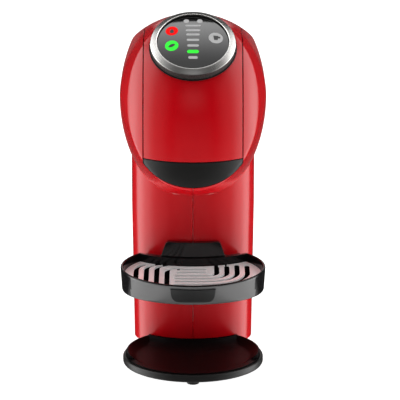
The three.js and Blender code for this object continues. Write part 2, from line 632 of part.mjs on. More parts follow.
function basePlate() {
  const low = BASE.bottom + 1.8 + GAP;
  const body = prism(basePlan(BASE.plateRadius, BASE.lip), low, BASE.topZ, 9);
  const rim = BASE.plateRadius - 1.4;
  const dish = turned(
    [[0, BASE.floorZ], [44, BASE.floorZ], [rim, BASE.topZ], [rim + 1, 20], [0, 20]], 0, 0, SEGMENTS);
  const platform = loft([[18, 0], [12, BASE.floorZ], [1.5, BASE.topZ], [1.5, 30]].map(
    ([grow, z]) => columnRing(COLUMN.footHalfWidth, grow, z)));
  const front = prism(polygon([[-60, -8], [-44, -18], [44, -18], [60, -8], [60, -60], [-60, -60]]), 9.6, 20);
  const holes = baseScrewPlaces.map(([x, y]) => rod(1.9, [x, y, 0], [x, y, 9], 8));
  return cut(body, cut(dish, platform), front, glandNotch(), ...holes);
}

function baseScrew(x, y) {
  return join(rod(1.6, [x, y, 2], [x, y, 8.6], 8), rod(3, [x, y, 1.2], [x, y, 2.6], 10));
}

const footPlaces = [
  ['foot_front', 0, -46.5], ['foot_left', -40, 14], ['foot_right', 40, 14],
  ['foot_rear_left', -30, 214], ['foot_rear_right', 30, 214]];

/** Rubber foot with a plug that seats in the pan. */
function foot(x, y) {
  const lift = BASE.bottom - GAP;
  const profile = [[0, 0], [4.2, 0], [4.8, 0.6], [4.8, lift], [2.7, lift], [2.7, lift + 1], [0, lift + 1]];
  return turned(profile, x, y, 14);
}

function cordGland() {
  const block = box(-30.6, -19.4, 217, 228, 4.9, 11.7);
  const nose = rod(3, [-25, 227, 8.3], [-25, REAR_Y - 1.5, 8.3], 16);
  return cut(join(block, nose), rod(2, [-25, 222, 8.3], [-25, REAR_Y, 8.3], 12));
}

// ---- water tank -----------------------------------------------------------------------------------------------
function tankPlan(inset) {
  const half = TANK.halfWidth - inset;
  const front = TANK.frontY + inset;
  const corner = 8 - inset;
  const centre = REAR_Y - TANK.bow;
  const shape = new THREE.Shape();
  shape.absarc(corner - half, front + corner, corner, Math.PI, 1.5 * Math.PI);
  shape.absarc(half - corner, front + corner, corner, 1.5 * Math.PI, 2 * Math.PI);
  shape.absellipse(0, centre, half, TANK.bow - inset, 0, Math.PI);
  return shape;
}

const valvePlace = { x: 0, y: 172 };

function waterTank() {
  const outer = prism(tankPlan(0), TANK.bottom, TANK.top, 6);
  const inside = prism(tankPlan(TANK.wall), TANK.floor + 3, TANK.top + 5, 6);
  const under = prism(tankPlan(TANK.wall + 0.6), 0, TANK.floor, 6);
  const { x, y } = valvePlace;
  return cut(outer, inside, under, box(-6, 6, 140, 156, 0, TANK.floor), rod(6.3, [x, y, 10], [x, y, 30], 20));
}

function tankLid() {
  const plate = prism(tankPlan(0), TANK.top + GAP, TANK.top + TANK.lid, 6);
  const fingerZ = TANK.top + TANK.lid + 6.4;
  return cut(plate, rod(9, [0, TANK.frontY + 22, fingerZ], [0, TANK.frontY + 46, fingerZ]));
}

const tankValve = () => turned(
  [[0, 14.8], [5.8, 14.8], [5.8, 26], [3, 28], [0, 28]], valvePlace.x, valvePlace.y, 20);

function tankDock() {
  const { x, y } = valvePlace;
  return join(
    box(-4.5, 4.5, 138, 148, COLUMN.bottomZ, 20.7),
    box(-4.5, 4.5, 147, y, COLUMN.bottomZ, 14.5),
    rod(13, [x, y, COLUMN.bottomZ], [x, y, 14.3], 24));
}

// ---- materials ------------------------------------------------------------------------------------------------
const material = (color, roughness, metalness = 0, extra = {}) => new THREE.MeshStandardMaterial(
  { color, roughness, metalness, ...extra });
const redPlastic = material(0xb5121f, 0.25);
const blackGloss = material(0x0c0b0c, 0.12);
const blackSatin = material(0x1b1a1a, 0.45);
const chrome = material(0xc9c7c4, 0.2, 1);
const steel = material(0xb9b7b5, 0.3, 1);
const smoke = material(0x5a6068, 0.1, 0, { transparent: true, opacity: 0.45 });
const rubber = material(0x151515, 0.85);
const silicone = material(0xd8d4cc, 0.6);
const aluminium = material(0xa9abad, 0.45, 1);
const board = material(0x1f5b34, 0.6);
const coilWrap = material(0x3c3f45, 0.5);
const magnetGrey = material(0x55575a, 0.5, 0.6);

// ---- assembly -------------------------------------------------------------------------------------------------
const machine = new THREE.Group();
machine.position.y = (TRAY_RADIUS - REAR_Y) / 2;

function place(name, body, look) {
  const mesh = new THREE.Mesh(geometryOf(body), look);
  mesh.name = name;
  machine.add(mesh);
}

place('casing_left', mirrored(casing()), redPlastic);
place('casing_right', rightCasing(), redPlastic);
place('rear_cover', rearCover(), blackSatin);
for (const [x, z] of screwPlaces) {
  const level = z < 100 ? 'low' : 'high';
  place(`rear_screw_${level}_left`, rearScrew(-x, z), steel);
  place(`rear_screw_${level}_right`, rearScrew(x, z), steel);
}
place('inner_deck', innerDeck(), blackSatin);
place('chassis', chassis(), blackSatin);
place('pod_guide', podGuide(), blackSatin);
place('pump', pump(), steel);
place('pump_coil', pumpCoil(), coilWrap);
place('pump_mount_lower', pumpMount(28), rubber);
place('pump_mount_upper', pumpMount(90), rubber);
place('thermoblock', thermoblock(), aluminium);
place('heater_element', heaterElement(), steel);
place('thermostat', thermostat(-12), blackSatin);
place('thermal_fuse', thermostat(12), blackSatin);
place('flow_meter', flowMeter(), blackSatin);
place('inlet_hose', inletHose(), silicone);
place('meter_hose', meterHose(), silicone);
place('pump_hose', pumpHose(), silicone);
place('control_board', controlBoard(), board);
place('power_switch', powerSwitch(), blackSatin);
place('tray_rail', trayRail(), steel);

place('lever_cover', leverCover(), redPlastic);
place('lever_liner', leverLiner(), blackSatin);
place('display_housing', displayHousing(), blackSatin);
place('display_board', displayBoard(), board);
place('display_glass', displayGlass(), blackGloss);
place('hinge_pin_left', hingePin(-1), steel);
place('hinge_pin_right', hingePin(1), steel);
place('selector_ring', selectorRing(), chrome);

place('injector_head', injectorHead(), blackSatin);
place('injector_needle', injectorNeedle(), steel);
place('injector_seal', injectorSeal(), rubber);
place('injector_hose', injectorHose(), silicone);
place('pod_holder', podHolder(), blackSatin);

place('drip_tray', dripTray(), blackGloss);
place('tray_bracket', trayBracket(), blackGloss);
place('tray_magnet', trayMagnet(), magnetGrey);
place('tray_badge', trayBadge(), blackSatin);
place('drip_grid', dripGrid(), steel);

place('base_pan', basePan(), blackSatin);
place('base_plate', basePlate(), blackGloss);
for (const [k, [x, y]] of baseScrewPlaces.entries()) place(`base_screw_${k + 1}`, baseScrew(x, y), steel);
for (const [name, x, y] of footPlaces) place(name, foot(x, y), rubber);
place('cord_gland', cordGland(), rubber);

place('water_tank', waterTank(), smoke);
place('tank_lid', tankLid(), blackGloss);
place('tank_valve', tankValve(), blackSatin);
place('tank_dock', tankDock(), blackSatin);
place('power_button', powerButton(), blackGloss);

export default machine;
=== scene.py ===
"""Looks of the slim pod coffee machine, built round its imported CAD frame.

The outer pieces are drawn again, finer than the CAD, in millimetres with y = 0 on the cup's vertical axis and
with the same driving dimensions. deliver() scales each one to metres, moves it into the frame and lets it
stand for its node.
"""

import json
import math

import bmesh
import bpy
from mathutils import Matrix, Vector


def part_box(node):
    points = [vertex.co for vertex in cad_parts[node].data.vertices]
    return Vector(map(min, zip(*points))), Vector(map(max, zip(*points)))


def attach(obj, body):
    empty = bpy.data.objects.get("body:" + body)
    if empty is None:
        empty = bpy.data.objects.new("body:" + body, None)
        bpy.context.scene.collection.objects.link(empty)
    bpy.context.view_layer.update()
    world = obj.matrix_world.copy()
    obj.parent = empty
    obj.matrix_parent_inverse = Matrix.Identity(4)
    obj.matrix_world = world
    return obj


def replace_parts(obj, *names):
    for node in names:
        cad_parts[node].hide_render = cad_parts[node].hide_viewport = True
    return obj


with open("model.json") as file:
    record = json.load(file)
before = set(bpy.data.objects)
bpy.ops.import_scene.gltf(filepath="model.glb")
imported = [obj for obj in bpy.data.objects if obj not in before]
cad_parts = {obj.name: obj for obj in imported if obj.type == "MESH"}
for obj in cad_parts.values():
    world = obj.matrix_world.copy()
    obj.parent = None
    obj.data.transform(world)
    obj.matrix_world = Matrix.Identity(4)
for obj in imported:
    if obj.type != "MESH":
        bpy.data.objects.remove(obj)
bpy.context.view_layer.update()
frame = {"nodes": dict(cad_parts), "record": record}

# ---- driving dimensions, in millimetres, as in the CAD -------------------------------------------
TRAY_RADIUS = 56.0
REAR_Y = 233.0
WALL = 2.4
HEAD = dict(half_width=56.0, z=211.0, up=62.5, down=80.0, jowl=0.8,
            face_half_width=49.8, face_half_height=60.0, brow=0.75,
            nose_y=27.0, nose_z=175.0, reach=78.0, nose_up=97.0, nose_down=60.0,
            barrel_y=12.0, barrel_top_y=35.0, barrel_chin_y=22.0,
            rear_y=146.5, rear_narrow=5.0, rear_drop=2.0)
ROOF = dict(y=35.0, z=271.0, slope=0.177, bow=70.0, blend=2.0)
COLUMN = dict(half_width=48.4, foot_half_width=46.9, taper_z=115.0, bow=36.0, front_y=27.0,
              bottom_z=12.3, skirt_z=5.2, top_z=205.0)
STRIP = dict(opening=37.7, lever=37.0, bottom_z=174.2, arc_half_width=54.4, arc_half_height=57.9)
HINGE = dict(y=84.0, z=245.0, reach=29.0)
PANEL = dict(y=-10.8, z=252.7, tilt=math.radians(37), seat=33.4, recess=33.0, hole=26.9, housing=26.4)
RING = dict(inner=27.1, outer=32.1, bottom=0.4, shoulder=5.8, top=7.95, rib=0.28)
DISPLAY = dict(radius=26.7, bottom=2.2, edge=6.5, crown=8.75)
HOLDER = dict(plate_top=172.4, plate=3.2, half=36.4, pod_radius=26.5, outlet_opening=18.0)
# The tray's band half width bounds the grey band of painted reflection on its front wall.
TRAY = dict(top=80.0, rim=0.8, bottom=60.0, lean=15.5, wall=2.0, pocket_z=72.0, reflection_band_half=47.5)
GRID = dict(bottom=72.3, top=73.7, slot=4.0, pitch=7.9, bend_x=10.0, bend_y=1.6)
BASE = dict(radius=54.5, plate_radius=52.0, bottom=2.9, lip_z=8.6, floor_z=7.4, top_z=12.0,
            half_width=36.5, lip=2.5)
GLAND = dict(x=-25.0, y=227.0, z=8.3)
TANK = dict(half_width=44.0, front_y=149.6, bow=40.0, bottom=12.6, floor=18.0, top=216.0, wall=2.2, lid=6.0)
VENT = dict(half=1.2, reach=24, pitch=8, low=70, high=110)
BUTTON = dict(x=43.1, y=108.0, z=52.0, radius=7.0)
REAR_SCREWS = {"low_left": (-40, 60), "low_right": (40, 60), "high_left": (-40, 195), "high_right": (40, 195)}
REAR_SCREW_SINK = 1.2
BASE_SCREWS = ((30, 50), (-30, 50), (30, 190), (-30, 190))
FEET = {"front": (0, -46.5), "left": (-40, 14), "right": (40, 14), "rear_left": (-30, 214),
        "rear_right": (30, 214)}
SHELL_REAR = HEAD["rear_y"] - 4
GAP = 0.3
SIDES = 192
INNER_SIDES = 96

# Limits of the shapes that cut or trim, beyond the machine itself.
AHEAD = -80
ASIDE = 80
ABOVE = 300

MM = 0.001
CUP_AXIS_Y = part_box("drip_tray")[0].y + TRAY_RADIUS * MM
TO_FRAME = Matrix.Translation((0, CUP_AXIS_Y, 0)) @ Matrix.Scale(MM, 4)
ON_PANEL = Matrix.Translation((0, PANEL["y"], PANEL["z"])) @ Matrix.Rotation(PANEL["tilt"], 4, "X")
BODY_OF = {n: body for body, nodes in frame["record"]["behaviour"]["bodies"].items() for n in nodes}
SLOT_OF = {part["node"]: part["material_slot"] for part in frame["record"]["subparts"]}


# ---- solids, joins and cuts ----------------------------------------------------------------------
def solid(points, faces, name="shape"):
    """A closed mesh object with its faces turned outwards."""
    mesh = bpy.data.meshes.new(name)
    mesh.from_pydata([tuple(p) for p in points], [], faces)
    made = bmesh.new()
    made.from_mesh(mesh)
    bmesh.ops.recalc_face_normals(made, faces=made.faces)
    if made.calc_volume(signed=True) < 0:
        bmesh.ops.reverse_faces(made, faces=made.faces)
    made.to_mesh(mesh)
    made.free()
    piece = bpy.data.objects.new(name, mesh)
    bpy.context.scene.collection.objects.link(piece)
    return piece


def combine(operation, target, tools):
    for tool in tools:
        modifier = target.modifiers.new(operation, "BOOLEAN")
        modifier.operation = operation
        modifier.solver = "MANIFOLD"
        modifier.object = tool
    bpy.context.view_layer.update()
    depsgraph = bpy.context.evaluated_depsgraph_get()
    mesh = bpy.data.meshes.new_from_object(target.evaluated_get(depsgraph))
    target.modifiers.clear()
    target.data = mesh
    for tool in tools:
        bpy.data.objects.remove(tool)
    return target


def join(target, *tools):
    return combine("UNION", target, tools)


def cut(target, *tools):
    return combine("DIFFERENCE", target, tools)


def common(target, *tools):
    return combine("INTERSECT", target, tools)


def mirrored(piece):
    piece.data.transform(Matrix.Scale(-1, 4, (1, 0, 0)))
    piece.data.flip_normals()
    return piece


def loft(rings, first=None, last=None):
    """Closed body through rings of equal point count, each end closed by a fan to its tip."""
    count = len(rings[0])
    middle = lambda ring: [sum(p[k] for p in ring) / len(ring) for k in range(3)]
    points = [first or middle(rings[0])]
    points += [p for ring in rings for p in ring]
    points.append(last or middle(rings[-1]))
    at = lambda ring, k: 1 + ring * count + k % count
    faces = []
    for k in range(count):
        faces.append((0, at(0, k + 1), at(0, k)))
        faces.append((len(points) - 1, at(len(rings) - 1, k), at(len(rings) - 1, k + 1)))
        for r in range(len(rings) - 1):
            faces.append((at(r, k), at(r, k + 1), at(r + 1, k + 1), at(r + 1, k)))
    return solid(points, faces)


def revolve(profile, sides=96, ripple=None):
    """Turned shape about z; the profile lists (radius, z), and ripple(k, j) adds to a point's radius."""
    closed = profile[0] == profile[-1]
    rows = profile[:-1] if closed else profile
    points, row_of = [], []
    for j, (radius, z) in enumerate(rows):
        if radius == 0:
            row_of.append([len(points)] * sides)
            points.append((0, 0, z))
            continue
        row_of.append(list(range(len(points), len(points) + sides)))
        for k, a in enumerate(angles(sides)):
            r = radius + (ripple(k, j) if ripple else 0)
            points.append((r * math.cos(a), r * math.sin(a), z))
    faces = []
    for j in range(len(rows) if closed else len(rows) - 1):
        low, high = row_of[j], row_of[(j + 1) % len(rows)]
        for k in range(sides):
            n = (k + 1) % sides
            face = list(dict.fromkeys((low[k], low[n], high[n], high[k])))
            if len(face) > 2:
                faces.append(face)
    return solid(points, faces)


def turned(profile, x=0, y=0, sides=96):
    piece = revolve(profile, sides)
    piece.data.transform(Matrix.Translation((x, y, 0)))
    return piece


def on_panel(profile, sides=SIDES, ripple=None):
    """Turned shape about the control panel's own axis, heights above its seat."""
    piece = revolve(profile, sides, ripple)
    piece.data.transform(ON_PANEL)
    return piece


def prism(outline, low, high, along="z"):
    """Prism of an outline: in (x, y) along z, in (x, z) along y, or in (y, z) along x."""
    place = {"z": lambda a, b, t: (a, b, t),
             "y": lambda a, b, t: (a, t, b),
             "x": lambda a, b, t: (t, a, b)}[along]
    count = len(outline)
    points = [place(a, b, t) for t in (low, high) for a, b in outline]
    faces = [tuple(range(count)), tuple(range(count, 2 * count))]
    for k in range(count):
        n = (k + 1) % count
        faces.append((k, n, count + n, count + k))
    return solid(points, faces)


def box(x0, x1, y0, y1, z0, z1):
    return prism([(x0, y0), (x1, y0), (x1, y1), (x0, y1)], z0, z1)


def rod(radius, start, end, sides=64):
    """Rod along any direction."""
    a, b = Vector(start), Vector(end)
    piece = revolve([(0, 0), (radius, 0), (radius, (b - a).length), (0, (b - a).length)], sides)
    turn = Vector((0, 0, 1)).rotation_difference(b - a).to_matrix().to_4x4()
    piece.data.transform(Matrix.Translation(a) @ turn)
    return piece


def angles(sides):
    return [2 * math.pi * k / sides for k in range(sides)]


def arc(cx, cy, rx, ry, start, end, steps):
    """Points on an ellipse from one angle to another, both ends included."""
    return [(cx + rx * math.cos(a), cy + ry * math.sin(a))
            for a in (start + (end - start) * k / steps for k in range(steps + 1))]


def mix(a, b, t):
    return a + (b - a) * t


# ---- outer form: head and column -----------------------------------------------------------------
def face_depth(x, z, inset):
    """Depth of the front face at a point of its elevation, moved inwards by inset."""
    if z > HEAD["nose_z"]:
        rise = (z - HEAD["nose_z"]) / (HEAD["nose_up"] - inset)
    else:
        rise = (HEAD["nose_z"] - z) / (HEAD["nose_down"] - inset)
    bow = HEAD["half_width"] - inset
    front = HEAD["nose_y"] - (HEAD["reach"] - inset) * math.sqrt(1 - rise * rise)
    return front + bow - math.sqrt(bow * bow - x * x)


def fuller(a, power):
    """Cosine raised to a power, so that an oval drawn with it grows squarer corners."""
    return math.copysign(abs(math.cos(a)) ** power, math.cos(a))


def barrel_across(a):
    """Share of the barrel's half width at an angle of its section; below the middle the section is fuller."""
    return fuller(a, HEAD["jowl"] if math.sin(a) < 0 else 1)


def face_ring(size, inset, sides):
    """Ring on the front face: the face's oval shrunk by size."""
    ring = []
    for a in angles(sides):
        x = size * (HEAD["face_half_width"] - inset) * fuller(a, HEAD["brow"] if math.sin(a) > 0 else 1)
        z = HEAD["z"] + size * (HEAD["face_half_height"] - inset) * math.sin(a)
        ring.append((x, face_depth(x, z, inset), z))
    return ring


def under_roof(x, y, z, inset):
    """A point of the head, brought down to the bowed roof that slopes to the back; the two blend."""
    ridge = ROOF["z"] - inset - ROOF["slope"] * (y - ROOF["y"])
    over = z - (ridge - ROOF["bow"] + math.sqrt(ROOF["bow"] ** 2 - x * x))
    return x, y, z - (over + math.hypot(over, ROOF["blend"])) / 2


def flare_ring(t, inset, sides):
    """Ring of the flare between the oval's edge (t = 0) and the barrel (t = 1)."""
    grow = 1 - (1 - t) ** 1.4
    ring = []
    for a, edge in zip(angles(sides), face_ring(1, inset, sides)):
        s = math.sin(a)
        end_y = mix(HEAD["barrel_y"], HEAD["barrel_top_y"] if s > 0 else HEAD["barrel_chin_y"], abs(s))
        end_height = (HEAD["up"] if s > 0 else HEAD["down"]) - inset
        x = mix(edge[0], (HEAD["half_width"] - inset) * barrel_across(a), grow)
        z = HEAD["z"] + s * mix(HEAD["face_half_height"] - inset, end_height, grow)
        ring.append(under_roof(x, mix(edge[1], end_y, t), z, inset))
    return ring


def barrel_ring(y, inset, sides):
    """Ring of the barrel behind the flare; it narrows a little towards the back."""
    back = ((y - HEAD["barrel_top_y"]) / (HEAD["rear_y"] - HEAD["barrel_top_y"])) ** 2
    up = HEAD["up"] - inset - back * HEAD["rear_drop"]
    half = HEAD["half_width"] - inset - back * HEAD["rear_narrow"]
    return [under_roof(half * barrel_across(a), y,
                       HEAD["z"] + math.sin(a) * (up if math.sin(a) > 0 else HEAD["down"] - inset), inset)
            for a in angles(sides)]


def head(inset=0.0, sides=SIDES):
    """The head's solid, moved inwards by inset; the crease round its face is a narrow rounding."""
    face_steps = 26
    rings = [face_ring(0.04 + 0.95 * k / face_steps, inset, sides) for k in range(face_steps + 1)]
    rings += [flare_ring(t, inset, sides) for t in (0.012, 0.06, 0.12, 0.2, 0.3, 0.42, 0.55, 0.7, 0.85, 1)]
    rings += [barrel_ring(y, inset, sides) for y in (48, 62, 84, 105, 126, HEAD["rear_y"])]
    return loft(rings, (0, face_depth(0, HEAD["z"], inset), HEAD["z"]))


def column_ring(half_width, grow, z):
    """Section of the column: a bowed front between straight sides, grown outwards."""
    half = half_width + grow
    front = arc(0, COLUMN["front_y"] + COLUMN["bow"], half, COLUMN["bow"] + grow, math.pi, 2 * math.pi, 96)
    return [(x, y, z) for x, y in (*front, (half, HEAD["rear_y"]), (-half, HEAD["rear_y"]))]


def column(grow, bottom=COLUMN["bottom_z"], top=COLUMN["top_z"]):
    """The column's solid; it is a little narrower at the foot, up to its taper's height."""
    foot_z, taper_z = COLUMN["bottom_z"], COLUMN["taper_z"]
    slope = (COLUMN["half_width"] - COLUMN["foot_half_width"]) / (taper_z - foot_z)
    half = lambda z: COLUMN["foot_half_width"] + slope * (min(z, taper_z) - foot_z)
    return loft([column_ring(half(z), grow, z) for z in (bottom, taper_z, top)])


def strip_outline(half, margin):
    """Opening between the cheeks: an arc below, straight sides, up through the roof."""
    a = STRIP["arc_half_width"] + margin
    b = STRIP["arc_half_height"] + margin
    turn = math.acos(half / a)
    return [(half, 320)] + arc(0, HEAD["z"], a, b, -turn, turn - math.pi, 96) + [(-half, 320)]


def hinge_rod(radius, half):
    """Rod round the lever's hinge axis."""
    return rod(radius, (-half, HINGE["y"], HINGE["z"]), (half, HINGE["y"], HINGE["z"]))


def puck(radius, top):
    """Upright disc from the ground up, about the cup's axis."""
    return turned([(0, 0), (radius, 0), (radius, top), (0, top)], sides=SIDES)


def casing():
    """Right half of the shell: a flange lines the strip's opening; the base and the outlet are cut out."""
    half = STRIP["opening"]
    outside = join(head(), column(0, COLUMN["skirt_z"]))
    body = cut(outside, join(head(WALL, INNER_SIDES), column(-WALL, 0)))
    flange_zone = box(half - 1, half + 2, AHEAD, HINGE["y"] + 24, 169.8, ABOVE)
    flange = common(cut(head(0.6), head(16, INNER_SIDES)), flange_zone)
    opening = prism(strip_outline(half, 0.1), AHEAD, HINGE["y"], "y")
    body = cut(join(body, flange), opening, hinge_rod(HINGE["reach"], half))
    body = common(body, box(GAP / 2, ASIDE, -100, SHELL_REAR, 0, ABOVE))
    neck, lip_top, plate_top = BASE["half_width"], BASE["lip_z"] + GAP, BASE["top_z"] + GAP
    outlet_opening = rod(HOLDER["outlet_opening"], (0, 0, 120), (0, 0, 160))
    return cut(body, outlet_opening, puck(BASE["plate_radius"] + GAP, plate_top),
               puck(BASE["radius"] + GAP, lip_top),
               box(0, neck - BASE["lip"] + GAP, 0, 60, 0, plate_top), box(0, neck + GAP, 0, 60, 0, lip_top))


def right_casing():
    y, z = BUTTON["y"], BUTTON["z"]
    return cut(casing(), rod(BUTTON["radius"] + GAP, (40, y, z), (55, y, z)))


def rear_cover():
    rear = HEAD["rear_y"]
    zone = box(-ASIDE, ASIDE, SHELL_REAR + GAP, rear - 0.2, COLUMN["bottom_z"], ABOVE)
    body = common(join(head(), column(0)), zone)
    seats = [rod(3.6, (x, rear - REAR_SCREW_SINK, z), (x, rear + 1, z)) for x, z in REAR_SCREWS.values()]
    vents = [box(x - VENT["half"], x + VENT["half"], SHELL_REAR - 1, rear + 1, VENT["low"], VENT["high"])
             for x in range(-VENT["reach"], VENT["reach"] + 1, VENT["pitch"])]
    valve_notch = box(-6, 6, 130, 160, 0, 22)
    return cut(body, valve_notch, *seats, *vents)


def lever_cover():
    """The strip: a skin with side skirts, a seat for the panel and a round hole for the display's housing."""
    half = STRIP["lever"]
    side = 2.2
    reach = join(box(-half, half, AHEAD, HINGE["y"], STRIP["bottom_z"], ABOVE),
                 hinge_rod(HINGE["reach"] - 0.5, half))
    skin = cut(head(), head(WALL, INNER_SIDES))
    span = (AHEAD, 130, 176, ABOVE)
    walls = join(box(half - side, half, *span), box(-half, side - half, *span))
    skirt = common(cut(head(0.6), head(8, INNER_SIDES)), walls)
    seat = common(panel_disc(PANEL["seat"], -2.6, 0), head(0.3))
    body = common(join(skin, skirt, seat), reach)
    return cut(body, panel_disc(PANEL["recess"], 0, 25), panel_disc(PANEL["hole"], -20, 5))


def lever_liner():
    """Inner skin under the strip, kept clear of the panel's seat and housing."""
    half = STRIP["lever"] - 2.6
    front = box(-half, half, AHEAD, HINGE["y"] - 12, STRIP["bottom_z"] + 2, ABOVE)
    rear = common(hinge_rod(HINGE["reach"] - 2, half), box(-half, half, 0, 200, HINGE["z"] + 12, ABOVE))
    skin = cut(head(WALL + 0.6, INNER_SIDES), head(WALL + 2.4, INNER_SIDES))
    return cut(common(skin, join(front, rear)),
               panel_disc(PANEL["seat"] + 1.4, -3, 25), panel_disc(PANEL["housing"] + 1, -25, 25))


# ---- control panel -------------------------------------------------------------------------------
def panel_disc(radius, low, high):
    return on_panel([(0, low), (radius, low), (radius, high), (0, high)])


def selector_ring():
    """Plated ring: a conical bright face with rounded lips over a finely ribbed side."""
    inner, outer = RING["inner"], RING["outer"]
    bottom, shoulder, top = RING["bottom"], RING["shoulder"], RING["top"]
    side = [(inner, bottom), (outer - 0.3, bottom), (outer, bottom + 0.3), (outer, shoulder - 0.6)]
    edge = [(outer - 0.05, shoulder - 0.25), (outer - 0.25, shoulder), (outer - 0.6, shoulder + 0.2)]
    lip = [(inner + 0.85, top - 0.15), (inner + 0.5, top), (inner + 0.25, top), (inner, top - 0.25)]
    ribbed_rows = (2, 3)
    ribs = lambda k, row: -RING["rib"] * (k % 4 in (1, 2)) if row in ribbed_rows else 0
    return on_panel([*side, *edge, *lip, side[0]], 480, ribs)


def ring_painted_shadow():
    """Thin black annulus under the ring's edge, in the gap at its base: a dark sheet that paints the shadow
    line round the ring.
    """
    inside, outside = 31, 32.95
    return on_panel([(inside, 0.02), (outside, 0.02), (outside, 0.3), (inside, 0.3), (inside, 0.02)])


def display_height(radius):
    return DISPLAY["crown"] - (DISPLAY["crown"] - DISPLAY["edge"]) * (radius / DISPLAY["radius"]) ** 2


def display_glass():
    steps = 24
    radii = [DISPLAY["radius"] * k / steps for k in range(steps, -1, -1)]
    dome = [(radius, display_height(radius)) for radius in radii]
    return on_panel([(0, DISPLAY["bottom"]), (DISPLAY["radius"], DISPLAY["bottom"]), *dome])


def decal(outline, low, high):
    """Thin printed mark on the display's dome, from low to high above it; its outline lists (right, up)."""
    cx = sum(p[0] for p in outline) / len(outline)
    cy = sum(p[1] for p in outline) / len(outline)
    lifted = lambda x, y, h: (x, y, display_height(math.hypot(x, y)) + h)
    ring = lambda share, h: [lifted(mix(cx, x, share), mix(cy, y, share), h) for x, y in outline]
    rings = [ring(0.5, low), ring(1, low), ring(1, high), ring(0.5, high)]
    piece = loft(rings, lifted(cx, cy, low), lifted(cx, cy, high))
    piece.data.transform(ON_PANEL)
    return piece


def bar_outline(x, y, width, height):
    """Bar with round ends."""
    r = height / 2
    return (arc(x + width / 2 - r, y, r, r, -math.pi / 2, math.pi / 2, 12)
            + arc(x - width / 2 + r, y, r, r, math.pi / 2, 1.5 * math.pi, 12))


def disc_outline(x, y, radius):
    return [(x + radius * math.cos(a), y + radius * math.sin(a)) for a in angles(48)]


# ---- pod holder ----------------------------------------------------------------------------------
def pod_holder():
    """Drawer: a front that closes the strip below, a plate with the pod's seat and a cup with the outlet."""
    half, top = HOLDER["half"], HOLDER["plate_top"]
    bottom = top - HOLDER["plate"]
    front = common(cut(head(), head(3, INNER_SIDES)),
                   prism(strip_outline(STRIP["lever"], -0.4), AHEAD, 0, "y"),
                   box(-50, 50, AHEAD, 0, 140, STRIP["bottom_z"] - 0.7))
    plan = [(-half, -60), (half, -60), *arc(0, 0, half, half, 0, math.pi, 64)]
    plate = common(prism(plan, bottom, top), head(1.5))
    cup = turned([(0, 158.6), (18.7, 158.6), (19.5, 159.2), (29, bottom + 1), (0, bottom + 1)])
    seat = turned([(0, 150), (12, 150), (12, 160.8), (17, 160.8), (HOLDER["pod_radius"], 169.8),
                   (HOLDER["pod_radius"], 180), (0, 180)])
    return cut(join(front, plate, cup), seat)


# ---- drip tray -----------------------------------------------------------------------------------
def tray_ring(z, inset, sides=SIDES):
    """Plan outline of the tray at a height; the front wall leans in towards the bottom."""
    rim_z = TRAY["top"] - TRAY["rim"]
    down = max(0.0, (rim_z - z) / (rim_z - TRAY["bottom"]))
    side = TRAY_RADIUS - 1.2 * down - inset
    front = TRAY_RADIUS - TRAY["lean"] * down ** 1.1 - inset
    deep = lambda a: front if math.sin(a) < 0 else side
    return [(side * math.cos(a), deep(a) * math.sin(a), z) for a in angles(sides)]


def drip_tray():
    """Bowl with a rounded foot and rim, a ledge for the grid and a back that fits round the column."""
    low, top, wall = TRAY["bottom"], TRAY["top"], TRAY["wall"]
    levels = [(low, 3.0), (low + 0.15, 1.6), (low + 0.6, 0.9), (low + 1.4, 0.3), (low + 2.5, 0)]
    levels += [(z, 0) for z in (65, 68, 71, 74, 77)]
    levels += [(top - 1, 0), (top - 0.5, 0.1), (top - 0.15, 0.35), (top, 0.7)]
    outer = loft([tray_ring(z, inset) for z, inset in levels])
    ledge = ((TRAY["pocket_z"], wall), (top - 0.7, wall), (top - 0.2, wall - 0.3), (top + 0.4, wall - 1.1))
    pocket = loft([tray_ring(z, inset) for z, inset in ledge])
    bowl = ((low + 2.2, 4.5), (low + 6, wall + 1.5), (top, wall + 1.5))
    basin = loft([tray_ring(z, inset) for z, inset in bowl])
    hollow = cut(join(pocket, basin), column(7.8, 40, 100))
    return cut(outer, column(5.6, 40, 100), hollow)


def slot_outline(centre_x, centre_y, radius, start_y, bend, run):
    """Slot of constant width: a leg running forward, a turn through bend to the middle, a straight run."""
    half = GRID["slot"] / 2
    end_x = centre_x + radius * math.cos(bend) - run * math.sin(bend)
    end_y = centre_y - radius * math.sin(bend) - run * math.cos(bend)
    outline = arc(centre_x, centre_y, radius + half, radius + half, 0, -bend, 24)
    outline += arc(end_x, end_y, half, half, -bend, -bend - math.pi, 10)
    outline += arc(centre_x, centre_y, radius - half, radius - half, -bend, 0, 24)
    outline += arc(centre_x + radius, start_y, half, half, math.pi, 0, 10)
    return outline


def drip_grid():
    """Plate whose slots run forward and turn inwards on the right, and run back and turn on the left."""
    plan = [(x, y) for x, y, _ in tray_ring(GRID["bottom"], TRAY["wall"] + 0.5)]
    plate = cut(prism(plan, GRID["bottom"], GRID["top"]), column(8.2, 40, 100))
    half = GRID["slot"] / 2
    through = (70, 76)
    slots = []
    for k, start_y in enumerate((20, 22, 25, 23)):
        radius = 8.4 + GRID["pitch"] * k
        outline = slot_outline(GRID["bend_x"], GRID["bend_y"], radius, start_y, math.pi / 2, 23)
        slots.append(prism(outline, *through))
    legs = ((20, 8, 6, math.pi / 2), (28, 10.5, 12, 1.15), (36, 13, 12, 1.3), (44, 20, 10, 0.85))
    for leg, radius, bend_y, bend in legs:
        front = 0.88 * 48.7 * math.sqrt(1 - (leg / 53) ** 2) - half
        outline = slot_outline(leg - radius, -bend_y, radius, front, bend, 0.5)
        slots.append(prism([(-x, -y) for x, y in outline], *through))
    slots += [box(-12.5, 10.5, y - half, y + half, *through) for y in (2.5, 10.5)]
    return cut(plate, *slots)


